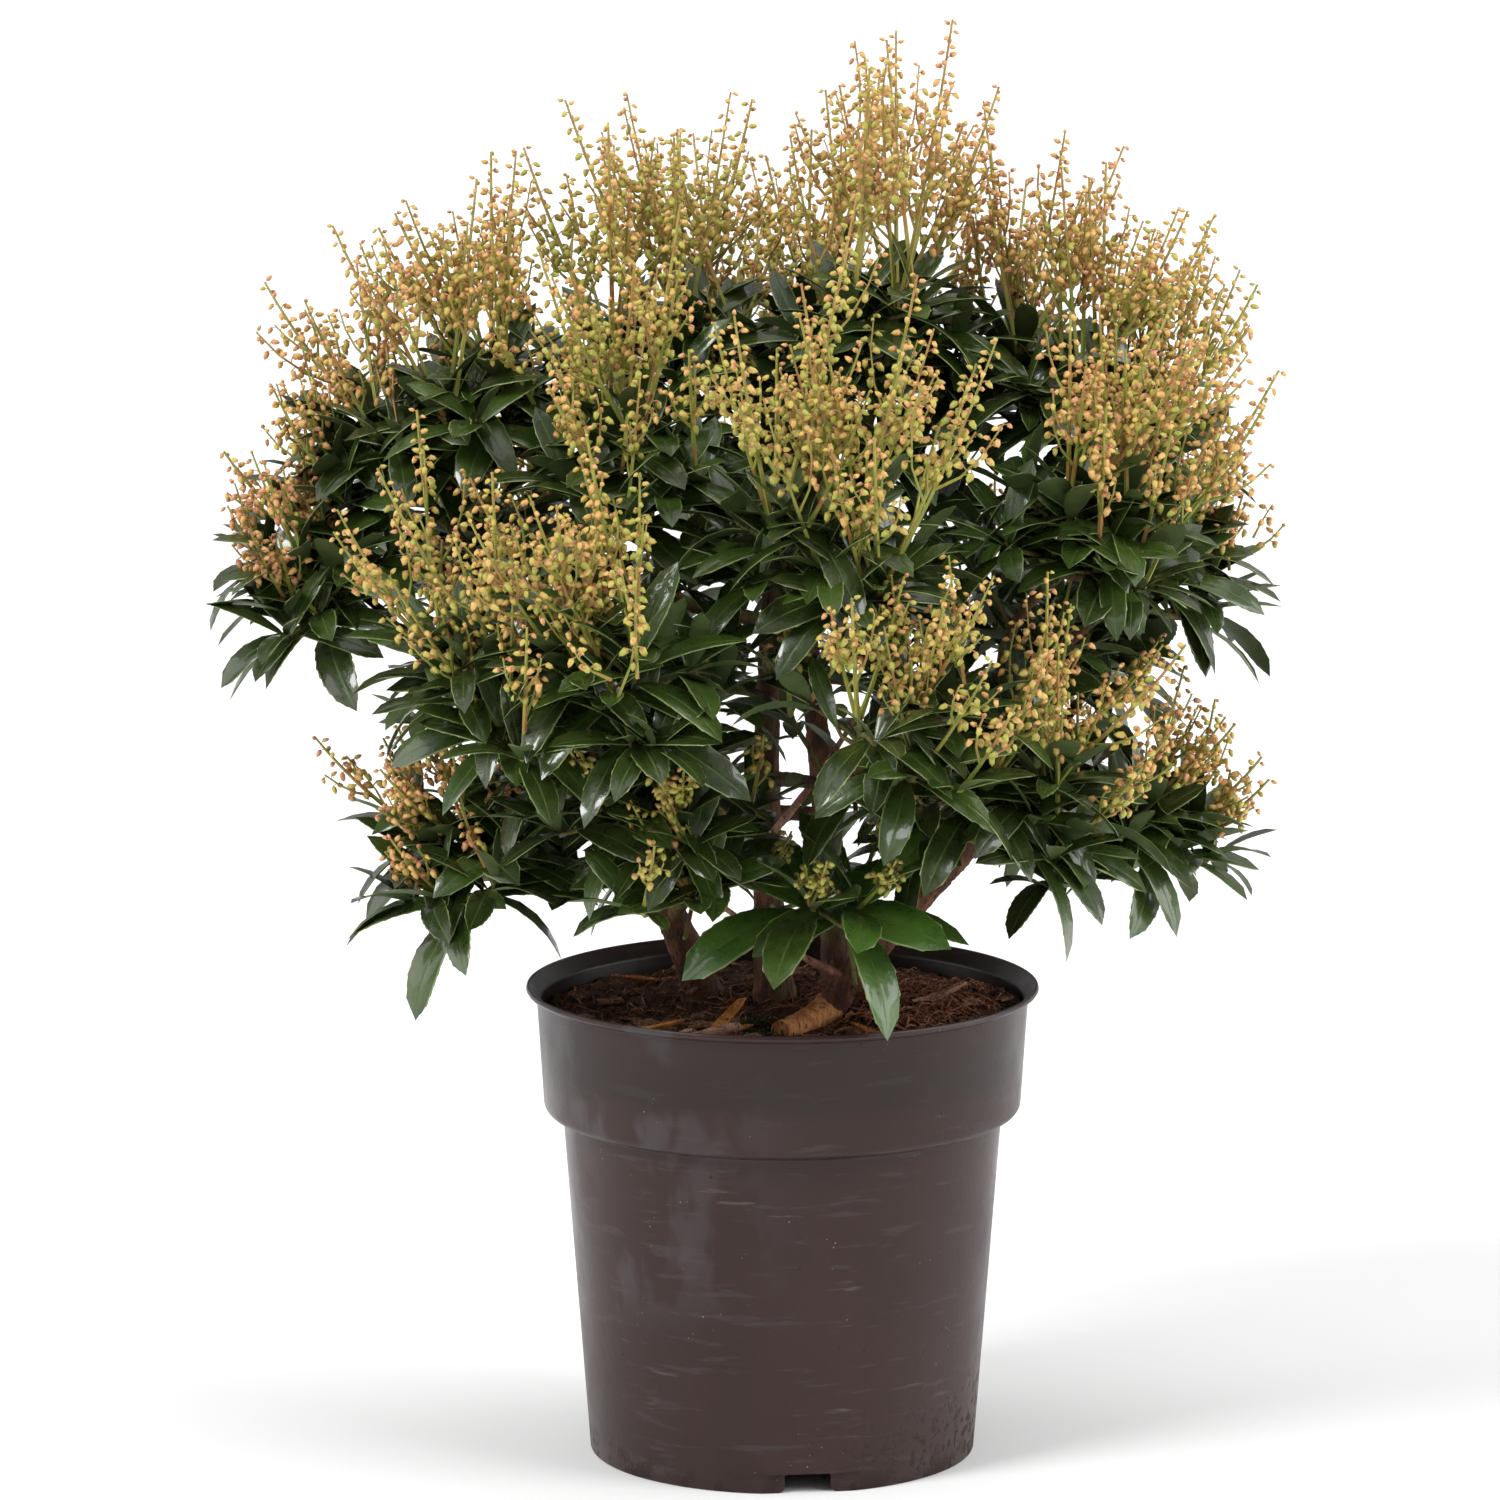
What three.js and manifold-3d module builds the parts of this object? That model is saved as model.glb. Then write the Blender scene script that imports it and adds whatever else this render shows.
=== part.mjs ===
// A pieris shrub standing in a plain plastic nursery pot, in millimetres, +Z up, with the origin
// at the centre of the pot's flat underside. Four stems rise out of the compost and fork into
// boughs, and each bough carries one mass of foliage: forked twigs, whorls of leathery leaves
// and upright spikes of unopened flower buds.

import * as THREE from 'three';
import { mergeVertices } from 'three/addons/utils/BufferGeometryUtils.js';
import Module from 'manifold-3d';

const wasm = await Module();
wasm.setup();

// ---------------------------------------------------------------- driving dimensions

const GAP = 0.3; // clearance between neighbouring solids

const POT = {
  height: 176,
  lipRadius: 95, // outermost edge of the flared lip
  lipEdge: 1.4, // width of its flat top
  lipDrop: 4.5, // height of the flared lip
  collarTop: 91,
  collarFoot: 88.6,
  collarFootZ: 131, // lower edge of the wide collar band
  waist: 81.2, // just under the collar
  waistZ: 125,
  footRadius: 71.5,
  wall: 1.8,
  sides: 32,
  floorRise: 8, // height of the drained ring between the foot and the centre pad
  footWidth: 5,
  padRadius: 40, // flat centre pad, level with the foot
};
const NOTCH = { count: 3, turnDeg: 7.6, openWidth: 17, height: 7.6 }; // drainage notches in the foot
const DRAIN = { count: 6, radius: 4, at: 53 }; // holes through the raised floor ring

const COMPOST = { level: 166, mound: 4 };

const STEM_SIDES = 8;
const BOUGH_SIDES = 4;
const TWIG_SIDES = 3;
const ROOT_SINK = 4; // how far a stem's flat cut lies under the compost's mean level
const FLARE = { share: 0.75, fade: 9 }; // root flare: extra radius at the cut, and how fast it fades

// Each stem: where its flat cut stands (x, y), the point it bends towards, its top, and its radii.
const STEMS = {
  stem_left: { foot: [-28, 20], bend: [-40, 14, 205], top: [-74, 0, 262], radii: [6.6, 4.2] },
  stem_centre: { foot: [-2, 4], bend: [-10, 0, 240], top: [-2, -8, 352], radii: [6.4, 3.4] },
  stem_right: { foot: [10, -28], bend: [30, -30, 196], top: [94, -40, 262], radii: [5.6, 3.8] },
  stem_back: { foot: [22, 34], bend: [18, 40, 230], top: [8, 74, 306], radii: [6.0, 3.8] },
};
const BOUGH = { rootRadius: 3.0, tipRadius: 1.9, steps: 3, pull: 0.45 };

// Limbs that carry no leaves: the stub of a pruned stem, and two thin dead twigs.
const BARE_LIMBS = {
  cut_stub: { from: 'stem_right', at: 0.1, tip: [-1, -54, 169], radii: [5.2, 4.2] },
  dead_twig_high: { from: 'stem_centre', at: 0.36, tip: [28, -62, 290], radii: [1.6, 0.9] },
  dead_twig_low: { from: 'stem_right', at: 0.2, tip: [-26, -66, 221], radii: [1.6, 0.9] },
};

const HEART = [-4, 6, 214]; // the point inside the plant that its boughs fan out from
const STEM_REACH = 46; // from a bough's tip to the middle of the whorls it carries

// Each mass of foliage: the stem its bough leaves and how far up that is, the middle of its
// whorls, how far they stand apart, and the number and length of its shoots and flower spikes.
const MASSES = [
  { name: 'left_far', from: 'stem_left', at: 0.72, middle: [-175, -22, 337], spread: 24, shoots: 3, spikes: 2, spike: 46 },
  { name: 'left_low', from: 'stem_left', at: 0.5, middle: [-126, -46, 234], spread: 22, shoots: 3, spikes: 2, spike: 50 },
  { name: 'left_front', from: 'stem_left', at: 0.62, middle: [-112, -100, 310], spread: 27, shoots: 3, spikes: 2, spike: 80 },
  { name: 'left_top', from: 'stem_left', at: 0.99, middle: [-152, 2, 380], spread: 23, shoots: 3, spikes: 2, spike: 62 },
  { name: 'crown_left', from: 'stem_left', at: 0.9, middle: [-106, -10, 402], spread: 26, shoots: 3, spikes: 3, spike: 84 },
  { name: 'front_left', from: 'stem_centre', at: 0.55, middle: [-60, -132, 318], spread: 28, shoots: 3, spikes: 2, spike: 88 },
  { name: 'front_upper_left', from: 'stem_centre', at: 0.78, middle: [-58, -62, 380], spread: 23, shoots: 3, spikes: 2, spike: 84 },
  { name: 'crown_centre_left', from: 'stem_centre', at: 0.93, middle: [-44, 6, 418], spread: 25, shoots: 3, spikes: 3, spike: 92 },
  { name: 'front_low_left', from: 'stem_left', at: 0.34, middle: [-48, -100, 252], spread: 28, shoots: 3, spikes: 1, spike: 46 },
  { name: 'front_upper', from: 'stem_centre', at: 0.7, middle: [16, -108, 360], spread: 29, shoots: 3, spikes: 3, spike: 86 },
  { name: 'crown_centre', from: 'stem_centre', at: 0.98, middle: [40, 0, 426], spread: 24, shoots: 3, spikes: 2, spike: 111 },
  { name: 'crown_shoulder', from: 'stem_centre', at: 0.95, middle: [80, 24, 406], spread: 20, shoots: 2, spikes: 3, spike: 84 },
  { name: 'front_right', from: 'stem_centre', at: 0.47, middle: [42, -130, 300], spread: 23, shoots: 3, spikes: 2, spike: 66 },
  { name: 'crown_right', from: 'stem_centre', at: 0.86, middle: [122, 0, 395], spread: 25, shoots: 3, spikes: 3, spike: 84 },
  { name: 'right_upper', from: 'stem_right', at: 0.88, middle: [118, -60, 360], spread: 24, shoots: 3, spikes: 3, spike: 88 },
  { name: 'right_far', from: 'stem_right', at: 0.97, middle: [148, 18, 336], spread: 30, shoots: 3, spikes: 2, spike: 56 },
  { name: 'right_front', from: 'stem_right', at: 0.66, middle: [88, -92, 262], spread: 25, shoots: 3, spikes: 2, spike: 80 },
  { name: 'right_low', from: 'stem_right', at: 0.8, middle: [138, -28, 244], spread: 20, shoots: 3, spikes: 2, spike: 50 },
  { name: 'foot_front', from: 'stem_right', at: 0.36, middle: [24, -96, 222], spread: 16, shoots: 2, spikes: 1, spike: 34 },
  { name: 'back_left', from: 'stem_back', at: 0.74, middle: [-112, 88, 332], spread: 30, shoots: 3, spikes: 2, spike: 78 },
  { name: 'back_right', from: 'stem_back', at: 0.82, middle: [112, 78, 304], spread: 30, shoots: 3, spikes: 2, spike: 78 },
  { name: 'back_crown', from: 'stem_back', at: 0.97, middle: [2, 74, 404], spread: 28, shoots: 3, spikes: 3, spike: 84 },
  { name: 'back_centre', from: 'stem_back', at: 0.9, middle: [-4, 138, 330], spread: 30, shoots: 3, spikes: 2, spike: 76 },
  { name: 'back_low_left', from: 'stem_back', at: 0.46, middle: [-78, 112, 244], spread: 26, shoots: 3, spikes: 1, spike: 50 },
  { name: 'back_low_right', from: 'stem_back', at: 0.56, middle: [84, 106, 240], spread: 26, shoots: 3, spikes: 1, spike: 50 },
];

const TWIG = { rootRadius: 1.9, tipRadius: 1.4, steps: 2, firstFork: 0.12, nextFork: 0.2, upturn: 0.5 };
const LEAF = {
  count: 7,
  length: 57,
  width: 28,
  widestAt: 0.6, // share of the length at which it is widest
  arch: 0.08, // how far the middle rises and the tip droops, as shares of the length
  droop: 0.14,
  sag: 0.18,
  keel: 1.4, // height of the midrib under the blade
  stalk: 0.6, // half the height of the stalk's root edge
  sunk: 0.5, // how far that edge lies behind the middle of the twig
  whorlDepth: 15, // length of twig that a whorl's leaves share
  outerFrom: 3, // past this distance from its root a leaf keeps clear of the others
};
const LEAF_ANGLE = { outer: 98, inner: 50, jitter: 16 }; // degrees away from the shoot
// A leaf that has no room is tried again, turned by these radians and cut to these shares.
const LEAF_TRIES = [[0, 1], [0.35, 1], [-0.35, 1], [0.7, 0.9], [-0.7, 0.9]];
const SPIKE = {
  stalk: 0.8,
  radius: 11, // over the buds
  bareShare: 0.24, // share of the length that carries no buds
  widestAt: 0.52,
  lean: 0.7, // how far a spike faces outwards with its mass rather than straight up
  fan: 0.36, // how far the spikes of a shoot spread
  bow: 0.1,
  apart: 0.7, // distance of their roots from the middle of the twig
  outerFrom: 0.05, // past this share of its length a spike keeps clear of leaves and other spikes
};

const GOLDEN_ANGLE = Math.PI * (3 - Math.sqrt(5));
const UP = new THREE.Vector3(0, 0, 1);

// ---------------------------------------------------------------- solids and small helpers

const vector = (p) => new THREE.Vector3(p[0], p[1], p[2]);
const mix = THREE.MathUtils.lerp;

// The same numbers in the same order for the same seed, from 0 to 1.
function seeded(seed) {
  let state = seed * 7919 + 17;
  return () => {
    state = (state * 48271) % 2147483647;
    return state / 2147483647;
  };
}

// A closed geometry as a solid that can be joined and cut.
function toSolid(geometry) {
  const bare = geometry.clone();
  bare.deleteAttribute('normal');
  bare.deleteAttribute('uv');
  const merged = mergeVertices(bare, 1e-4);
  return new wasm.Manifold(new wasm.Mesh({
    numProp: 3,
    vertProperties: merged.getAttribute('position').array,
    triVerts: new Uint32Array(merged.index.array),
  }));
}

function toGeometry(solid) {
  const mesh = solid.getMesh();
  const geometry = new THREE.BufferGeometry();
  geometry.setAttribute('position', new THREE.BufferAttribute(mesh.vertProperties, mesh.numProp));
  geometry.setIndex(new THREE.BufferAttribute(mesh.triVerts, 1));
  geometry.computeVertexNormals();
  return geometry;
}

const joined = (solids) => solids.reduce((whole, next) => whole.add(next));

// Two directions square to a given one, so that (side, over, along) is right-handed.
function squareTo(along) {
  const helper = Math.abs(along.z) > 0.9 ? new THREE.Vector3(1, 0, 0) : UP;
  const side = new THREE.Vector3().crossVectors(helper, along).normalize();
  const over = new THREE.Vector3().crossVectors(along, side);
  return [side, over];
}

// Moves each vertex of a geometry built along +Z, from z = 0 to z = 1, onto a curve.
function bendAlong(geometry, curve) {
  const place = geometry.getAttribute('position');
  const first = squareTo(curve.getTangentAt(0))[0];
  for (let i = 0; i < place.count; i++) {
    const t = THREE.MathUtils.clamp(place.getZ(i), 0, 1);
    const along = curve.getTangentAt(t);
    const side = first.clone().addScaledVector(along, -first.dot(along)).normalize();
    const over = new THREE.Vector3().crossVectors(along, side);
    const p = curve.getPointAt(t).addScaledVector(side, place.getX(i)).addScaledVector(over, place.getY(i));
    place.setXYZ(i, p.x, p.y, p.z);
  }
  return geometry;
}

// A limb of tapering round section along a curve, with flat ends. `wider` widens it at a share t
// of its length.
function limb(curve, rootRadius, tipRadius, sides, steps, wider = () => 1) {
  const corners = Array.from({ length: sides }, (_, i) => {
    const turn = (i * 2 * Math.PI) / sides;
    return new THREE.Vector2(Math.cos(turn), Math.sin(turn));
  });
  const geometry = new THREE.ExtrudeGeometry(new THREE.Shape(corners), { depth: 1, steps, bevelEnabled: false });
  const place = geometry.getAttribute('position');
  for (let i = 0; i < place.count; i++) {
    const t = place.getZ(i);
    const radius = mix(rootRadius, tipRadius, t) * wider(t);
    place.setXY(i, place.getX(i) * radius, place.getY(i) * radius);
  }
  return toSolid(bendAlong(geometry, curve));
}

// ---------------------------------------------------------------- pot and compost

// Outside of the pot from the foot to the lip, as [radius, height] pairs.
function potOutside() {
  const { height, lipRadius, lipDrop } = POT;
  return [
    [POT.footRadius, 0],
    [POT.waist, POT.waistZ],
    [POT.collarFoot - 1.2, POT.collarFootZ - 0.8],
    [POT.collarFoot, POT.collarFootZ + 1],
    [POT.collarTop, height - lipDrop - 0.8],
    [lipRadius - 0.8, height - lipDrop + 0.4],
    [lipRadius, height - 2],
    [lipRadius - 1, height],
  ];
}

// Inside of the pot from a level under the lip to the axis. `clear` moves it inwards, for what
// fills the pot.
function potInside(clear, level) {
  const inward = POT.wall + clear;
  const floor = POT.wall + clear;
  const taper = (POT.collarTop - POT.collarFoot) / (POT.height - POT.collarFootZ);
  const footGap = POT.footRadius - inward;
  return [
    [POT.collarTop - inward - taper * (POT.height - level), level],
    [POT.collarFoot - inward, POT.collarFootZ + 2],
    [POT.waist - inward, POT.waistZ + 1],
    [footGap, POT.floorRise + floor],
    [POT.padRadius + POT.wall - clear, POT.floorRise + floor],
    [POT.padRadius - inward, floor],
    [0, floor],
  ];
}

function latheSolid(profile, sides) {
  const points = profile.map(([radius, z]) => new THREE.Vector2(radius, z));
  return toSolid(new THREE.LatheGeometry(points, sides).rotateX(Math.PI / 2));
}

function makePot() {
  const underside = [
    [0, 0],
    [POT.padRadius, 0],
    [POT.padRadius + 2, POT.floorRise],
    [POT.footRadius - POT.footWidth, POT.floorRise],
    [POT.footRadius - POT.footWidth + 0.6, 0],
  ];
  const lipInside = [POT.lipRadius - 1 - POT.lipEdge, POT.height];
  const wallInside = potInside(0, POT.height - POT.lipDrop - 0.8);
  let pot = latheSolid([...underside, ...potOutside(), lipInside, ...wallInside], POT.sides);
  for (let i = 0; i < NOTCH.count; i++) {
    const turn = THREE.MathUtils.degToRad(NOTCH.turnDeg - 90) + (i * 2 * Math.PI) / NOTCH.count;
    const notch = new THREE.BoxGeometry(4 * POT.footWidth, NOTCH.openWidth, 2 * NOTCH.height)
      .translate(POT.footRadius - POT.footWidth / 2, 0, 0)
      .rotateZ(turn);
    pot = pot.subtract(toSolid(notch));
  }
  for (let i = 0; i < DRAIN.count; i++) {
    const turn = ((i + 0.5) * 2 * Math.PI) / DRAIN.count;
    const hole = new THREE.CylinderGeometry(DRAIN.radius, DRAIN.radius, 6 * POT.wall, 8)
      .rotateX(Math.PI / 2)
      .translate(DRAIN.at * Math.cos(turn), DRAIN.at * Math.sin(turn), POT.floorRise + POT.wall / 2);
    pot = pot.subtract(toSolid(hole));
  }
  return pot;
}

// The compost fills the pot and rises to a low mound in the middle.
function makeCompost() {
  const filling = potInside(GAP, COMPOST.level).reverse();
  return latheSolid([...filling, [0, COMPOST.level + COMPOST.mound]], POT.sides);
}

// ---------------------------------------------------------------- stems and boughs

function stemCurve({ foot, bend, top }) {
  const cut = new THREE.Vector3(foot[0], foot[1], COMPOST.level - ROOT_SINK);
  return new THREE.QuadraticBezierCurve3(cut, vector(bend), vector(top));
}

const rootFlare = (t) => 1 + FLARE.share * Math.exp(-FLARE.fade * 2 * t);

// The stem cut off flat and level at its foot.
function makeStem(stem, extra = 0) {
  const curve = stemCurve(stem);
  const [root, tip] = stem.radii;
  const flared = limb(curve, root + extra, tip + extra, STEM_SIDES, 5, rootFlare);
  const below = new THREE.BoxGeometry(80, 80, 40)
    .translate(stem.foot[0], stem.foot[1], COMPOST.level - ROOT_SINK + 1 - extra - 20);
  return flared.subtract(toSolid(below));
}

// The direction in which a mass faces, away from the heart of the plant.
const facing = (mass) => vector(mass.middle).sub(vector(HEART)).normalize();

// Where a bough ends and the mass that it carries begins.
const boughTip = (mass) => vector(mass.middle).addScaledVector(facing(mass), -STEM_REACH);

function boughCurve(mass) {
  const start = stemCurve(STEMS[mass.from]).getPointAt(mass.at);
  const end = boughTip(mass);
  const length = start.distanceTo(end);
  const leaving = end.clone().sub(start).normalize().addScaledVector(UP, 0.1).normalize();
  return new THREE.CubicBezierCurve3(
    start,
    start.clone().addScaledVector(leaving, length * 0.35),
    end.clone().addScaledVector(facing(mass), -length * BOUGH.pull),
    end,
  );
}

function makeBough(mass, grow = 0) {
  return limb(boughCurve(mass), BOUGH.rootRadius + grow, BOUGH.tipRadius + grow, BOUGH_SIDES, BOUGH.steps);
}

function makeBareLimb({ from, at, tip, radii }, grow = 0) {
  const start = stemCurve(STEMS[from]).getPointAt(at);
  const end = vector(tip);
  const middle = start.clone().lerp(end, 0.5).addScaledVector(UP, -0.06 * start.distanceTo(end));
  const curve = new THREE.QuadraticBezierCurve3(start, middle, end);
  return limb(curve, radii[0] + grow, radii[1] + grow, BOUGH_SIDES, BOUGH.steps);
}

// ---------------------------------------------------------------- foliage

// The shoots of a mass: each has its tip, the way its twig ends, the more upright way that its
// whorl points, and the curve of its twig. The first twig carries the bough on, and the others
// fork from it.
function shootsOf(mass, index) {
  const random = seeded(index * 100 + 1);
  const axis = facing(mass);
  const [side, over] = squareTo(axis);
  const shoots = [];
  for (let k = 0; k < mass.shoots; k++) {
    const turn = k * GOLDEN_ANGLE + random() * 0.8;
    const away = mass.spread * Math.sqrt((k + 0.35) / mass.shoots);
    const outward = side.clone().multiplyScalar(Math.cos(turn)).addScaledVector(over, Math.sin(turn));
    const tip = vector(mass.middle)
      .addScaledVector(outward, away)
      .addScaledVector(axis, (random() - 0.5) * 16 - away * 0.2);
    const root = k === 0
      ? boughTip(mass).addScaledVector(axis, GAP)
      : shoots[0].twig.getPointAt(TWIG.firstFork + TWIG.nextFork * (k - 1));
    const leaving = axis.clone().addScaledVector(outward, k === 0 ? 0 : 1).normalize();
    const ending = axis.clone().multiplyScalar(0.5).addScaledVector(outward, 0.35).addScaledVector(UP, 0.7).normalize();
    const bend = root.distanceTo(tip) * 0.38;
    const twig = new THREE.CubicBezierCurve3(
      root,
      root.clone().addScaledVector(leaving, bend),
      tip.clone().addScaledVector(ending, -bend),
      tip,
    );
    const ends = tip.clone().sub(twig.getPointAt(1 - 1 / TWIG.steps)).normalize();
    const points = ends.clone().addScaledVector(UP, TWIG.upturn).normalize();
    shoots.push({ tip, ends, points, twig, seed: index * 100 + k * 10 });
  }
  return shoots;
}

// The whorl's leaves: where each is rooted, the way it points, its upper side and its length.
function leavesOf(shoot, count) {
  const random = seeded(shoot.seed + 2);
  const [side, over] = squareTo(shoot.points);
  const turned = random() * 2 * Math.PI;
  const leaves = [];
  for (let i = 0; i < count; i++) {
    const rank = i / (count - 1); // 0 for the lowest leaf, 1 for the topmost
    const turn = turned + i * GOLDEN_ANGLE;
    const lift = mix(LEAF_ANGLE.outer, LEAF_ANGLE.inner, rank) + (random() - 0.5) * LEAF_ANGLE.jitter;
    const angle = THREE.MathUtils.degToRad(lift);
    const outward = side.clone().multiplyScalar(Math.cos(turn)).addScaledVector(over, Math.sin(turn));
    const along = shoot.points.clone().multiplyScalar(Math.cos(angle)).addScaledVector(outward, Math.sin(angle));
    along.z -= LEAF.sag * random();
    along.normalize();
    const upper = shoot.points.clone().addScaledVector(along, -shoot.points.dot(along)).normalize();
    const root = shoot.tip.clone().addScaledVector(shoot.ends, -LEAF.whorlDepth * (1 - rank) - 1);
    const length = LEAF.length * mix(1.05, 0.74, rank) * (0.88 + 0.24 * random());
    leaves.push({ root, along, upper, length });
  }
  return leaves;
}

// One leaf as eight faces. Its blade is pointed, arches over and has a keel for its midrib, and
// it narrows to a short upright edge inside the twig.
function leafSolid({ root, along, upper, length }, grow = 0, from = -LEAF.sunk) {
  const side = new THREE.Vector3().crossVectors(along, upper);
  const half = (LEAF.width * length) / LEAF.length / 2 + grow;
  const crest = LEAF.arch * length;
  const at = (reach, across, height) => root.clone()
    .addScaledVector(along, reach).addScaledVector(side, across).addScaledVector(upper, height).toArray();
  const widest = LEAF.widestAt * length;
  const corners = [
    at(from, 0, LEAF.stalk + grow),
    at(from, 0, -LEAF.stalk - grow),
    at(widest, half, crest + grow),
    at(widest, -half, crest + grow),
    at(widest, 0, crest - LEAF.keel - grow),
    at(length + grow, 0, -LEAF.droop * length),
  ];
  const geometry = new THREE.BufferGeometry();
  geometry.setAttribute('position', new THREE.Float32BufferAttribute(corners.flat(), 3));
  geometry.setIndex([0, 2, 3, 2, 5, 3, 0, 1, 2, 0, 3, 1, 1, 4, 2, 1, 3, 4, 4, 5, 2, 4, 3, 5]);
  return toSolid(geometry);
}

// The flower spikes of a shoot, as curves that rise from its tip and fan out a little.
function spikesOf(shoot, mass) {
  const random = seeded(shoot.seed + 3);
  const lean = UP.clone().addScaledVector(facing(mass), SPIKE.lean).normalize();
  const [side, over] = squareTo(lean);
  const turned = random() * 2 * Math.PI;
  const spikes = [];
  for (let j = 0; j < mass.spikes; j++) {
    const turn = turned + (j * 2 * Math.PI) / mass.spikes;
    const along = lean.clone()
      .addScaledVector(side, SPIKE.fan * Math.cos(turn))
      .addScaledVector(over, SPIKE.fan * Math.sin(turn))
      .normalize();
    const length = mass.spike * (0.74 + 0.4 * random());
    const start = shoot.tip.clone()
      .addScaledVector(shoot.ends, -1.2)
      .addScaledVector(side, SPIKE.apart * Math.cos(turn))
      .addScaledVector(over, SPIKE.apart * Math.sin(turn));
    const middle = start.clone()
      .addScaledVector(along, length * 0.5)
      .addScaledVector(along.clone().sub(UP), length * SPIKE.bow);
    const tip = start.clone().addScaledVector(along, length);
    spikes.push(new THREE.QuadraticBezierCurve3(start, middle, tip));
  }
  return spikes;
}

// A spike as one slim three-sided body: a bare stalk that widens to the buds and ends in a point.
function spikeSolid(curve, grow = 0, from = 0) {
  const profile = [
    [0, from],
    [SPIKE.stalk + grow, from],
    [SPIKE.stalk + grow, SPIKE.bareShare],
    [SPIKE.radius + grow, SPIKE.widestAt],
    [0, 1],
  ];
  const points = profile.map(([radius, along]) => new THREE.Vector2(radius, along));
  const geometry = new THREE.LatheGeometry(points, TWIG_SIDES).rotateX(Math.PI / 2);
  return toSolid(bendAlong(geometry, curve));
}

// The middle of the space that a mass keeps to: what is nearer to it than to any other's.
const spaceMiddle = (mass) => vector(mass.middle).addScaledVector(UP, mass.spike * 0.3);

function keepsToSpace(solid, index) {
  const { vertProperties, numProp } = solid.getMesh();
  const own = spaceMiddle(MASSES[index]);
  return MASSES.every((other, i) => {
    if (i === index) return true;
    const away = spaceMiddle(other).sub(own);
    const wall = away.length() / 2 - GAP;
    away.normalize();
    for (let v = 0; v < vertProperties.length; v += numProp) {
      const reach = (vertProperties[v] - own.x) * away.x
        + (vertProperties[v + 1] - own.y) * away.y
        + (vertProperties[v + 2] - own.z) * away.z;
      if (reach > wall) return false;
    }
    return true;
  });
}

const twigsOf = (shoots, grow = 0) => joined(shoots.map(({ twig }) =>
  limb(twig, TWIG.rootRadius + grow, TWIG.tipRadius + grow, TWIG_SIDES, TWIG.steps)));

// A leaf turned about its shoot and shortened, to find it a place among the rest.
function refitted(leaf, shoot, [turn, share]) {
  const along = leaf.along.clone().applyAxisAngle(shoot.points, turn);
  const upper = leaf.upper.clone().applyAxisAngle(shoot.points, turn);
  return { ...leaf, along, upper, length: leaf.length * share };
}

const meets = (a, b) => !a.intersect(b).isEmpty();

// One mass: its twigs, with each spike and leaf fused on that keeps to the mass's own space and
// stays clear of every limb, and whose outer part stays clear of the others' outer parts.
function makeMass(mass, index, shoots, obstacles) {
  const pieces = [twigsOf(shoots)];
  const outerParts = [];
  const place = (makePiece, outerFrom) => {
    const whole = makePiece(GAP);
    const outer = makePiece(GAP, outerFrom);
    const fits = keepsToSpace(whole, index)
      && !obstacles.some((limbRoom) => meets(whole, limbRoom))
      && !outerParts.some((other) => meets(outer, other));
    if (fits) {
      pieces.push(makePiece());
      outerParts.push(outer);
    }
    return fits;
  };
  for (const shoot of shoots) {
    for (const curve of spikesOf(shoot, mass)) {
      place((grow, from) => spikeSolid(curve, grow, from), SPIKE.outerFrom);
    }
  }
  for (const shoot of shoots) {
    for (const leaf of leavesOf(shoot, LEAF.count)) {
      LEAF_TRIES.some((trial) => {
        const fitted = refitted(leaf, shoot, trial);
        return place((grow, from) => leafSolid(fitted, grow, from), LEAF.outerFrom);
      });
    }
  }
  return joined(pieces);
}

// ---------------------------------------------------------------- assembly

const FINISH = {
  pot: { color: 0x4a4241, roughness: 0.45, metalness: 0 },
  compost: { color: 0x3a2418, roughness: 1, metalness: 0 },
  bark: { color: 0x5a3f2a, roughness: 0.85, metalness: 0 },
  foliage: { color: 0x24441f, roughness: 0.35, metalness: 0 },
};

const plant = new THREE.Group();

function addPiece(name, solid, finish) {
  const mesh = new THREE.Mesh(toGeometry(solid), new THREE.MeshStandardMaterial(FINISH[finish]));
  mesh.name = name;
  plant.add(mesh);
}

// Every limb is cut clear of the one it grows from, and the compost of those that stand in it.
const stems = Object.entries(STEMS).map(([name, stem]) => (
  { name, solid: makeStem(stem), room: makeStem(stem, GAP) }
));
const roomOf = Object.fromEntries(stems.map(({ name, room }) => [name, room]));
const bareLimbs = Object.entries(BARE_LIMBS).map(([name, bare]) => ({
  name,
  solid: makeBareLimb(bare).subtract(roomOf[bare.from]),
  room: makeBareLimb(bare, GAP),
}));
const boughs = MASSES.map((mass) => ({
  name: `bough_${mass.name}`,
  solid: makeBough(mass).subtract(roomOf[mass.from]),
  room: makeBough(mass, GAP),
}));
const limbs = [...stems, ...bareLimbs, ...boughs];
const limbRoom = joined(limbs.map(({ room }) => room));
const pot = makePot();
const compost = [...stems, ...bareLimbs].reduce((rest, { room }) => rest.subtract(room), makeCompost());

const shootsOfMass = MASSES.map(shootsOf);
const twigRooms = shootsOfMass.map((shoots) => twigsOf(shoots, GAP));
const masses = MASSES.map((mass, index) => {
  const otherTwigs = twigRooms.filter((_, i) => i !== index);
  const solid = makeMass(mass, index, shootsOfMass[index], [pot, compost, limbRoom, ...otherTwigs]);
  return { name: `foliage_${mass.name}`, solid };
});

addPiece('pot', pot, 'pot');
addPiece('compost', compost, 'compost');
limbs.forEach(({ name, solid }) => addPiece(name, solid, 'bark'));
masses.forEach(({ name, solid }) => addPiece(name, solid, 'foliage'));

export default plant;
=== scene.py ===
from math import cos, exp, hypot, pi, radians, sin, sqrt

import bmesh
import bpy
import numpy as np
from mathutils import Matrix, Vector, noise


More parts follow.
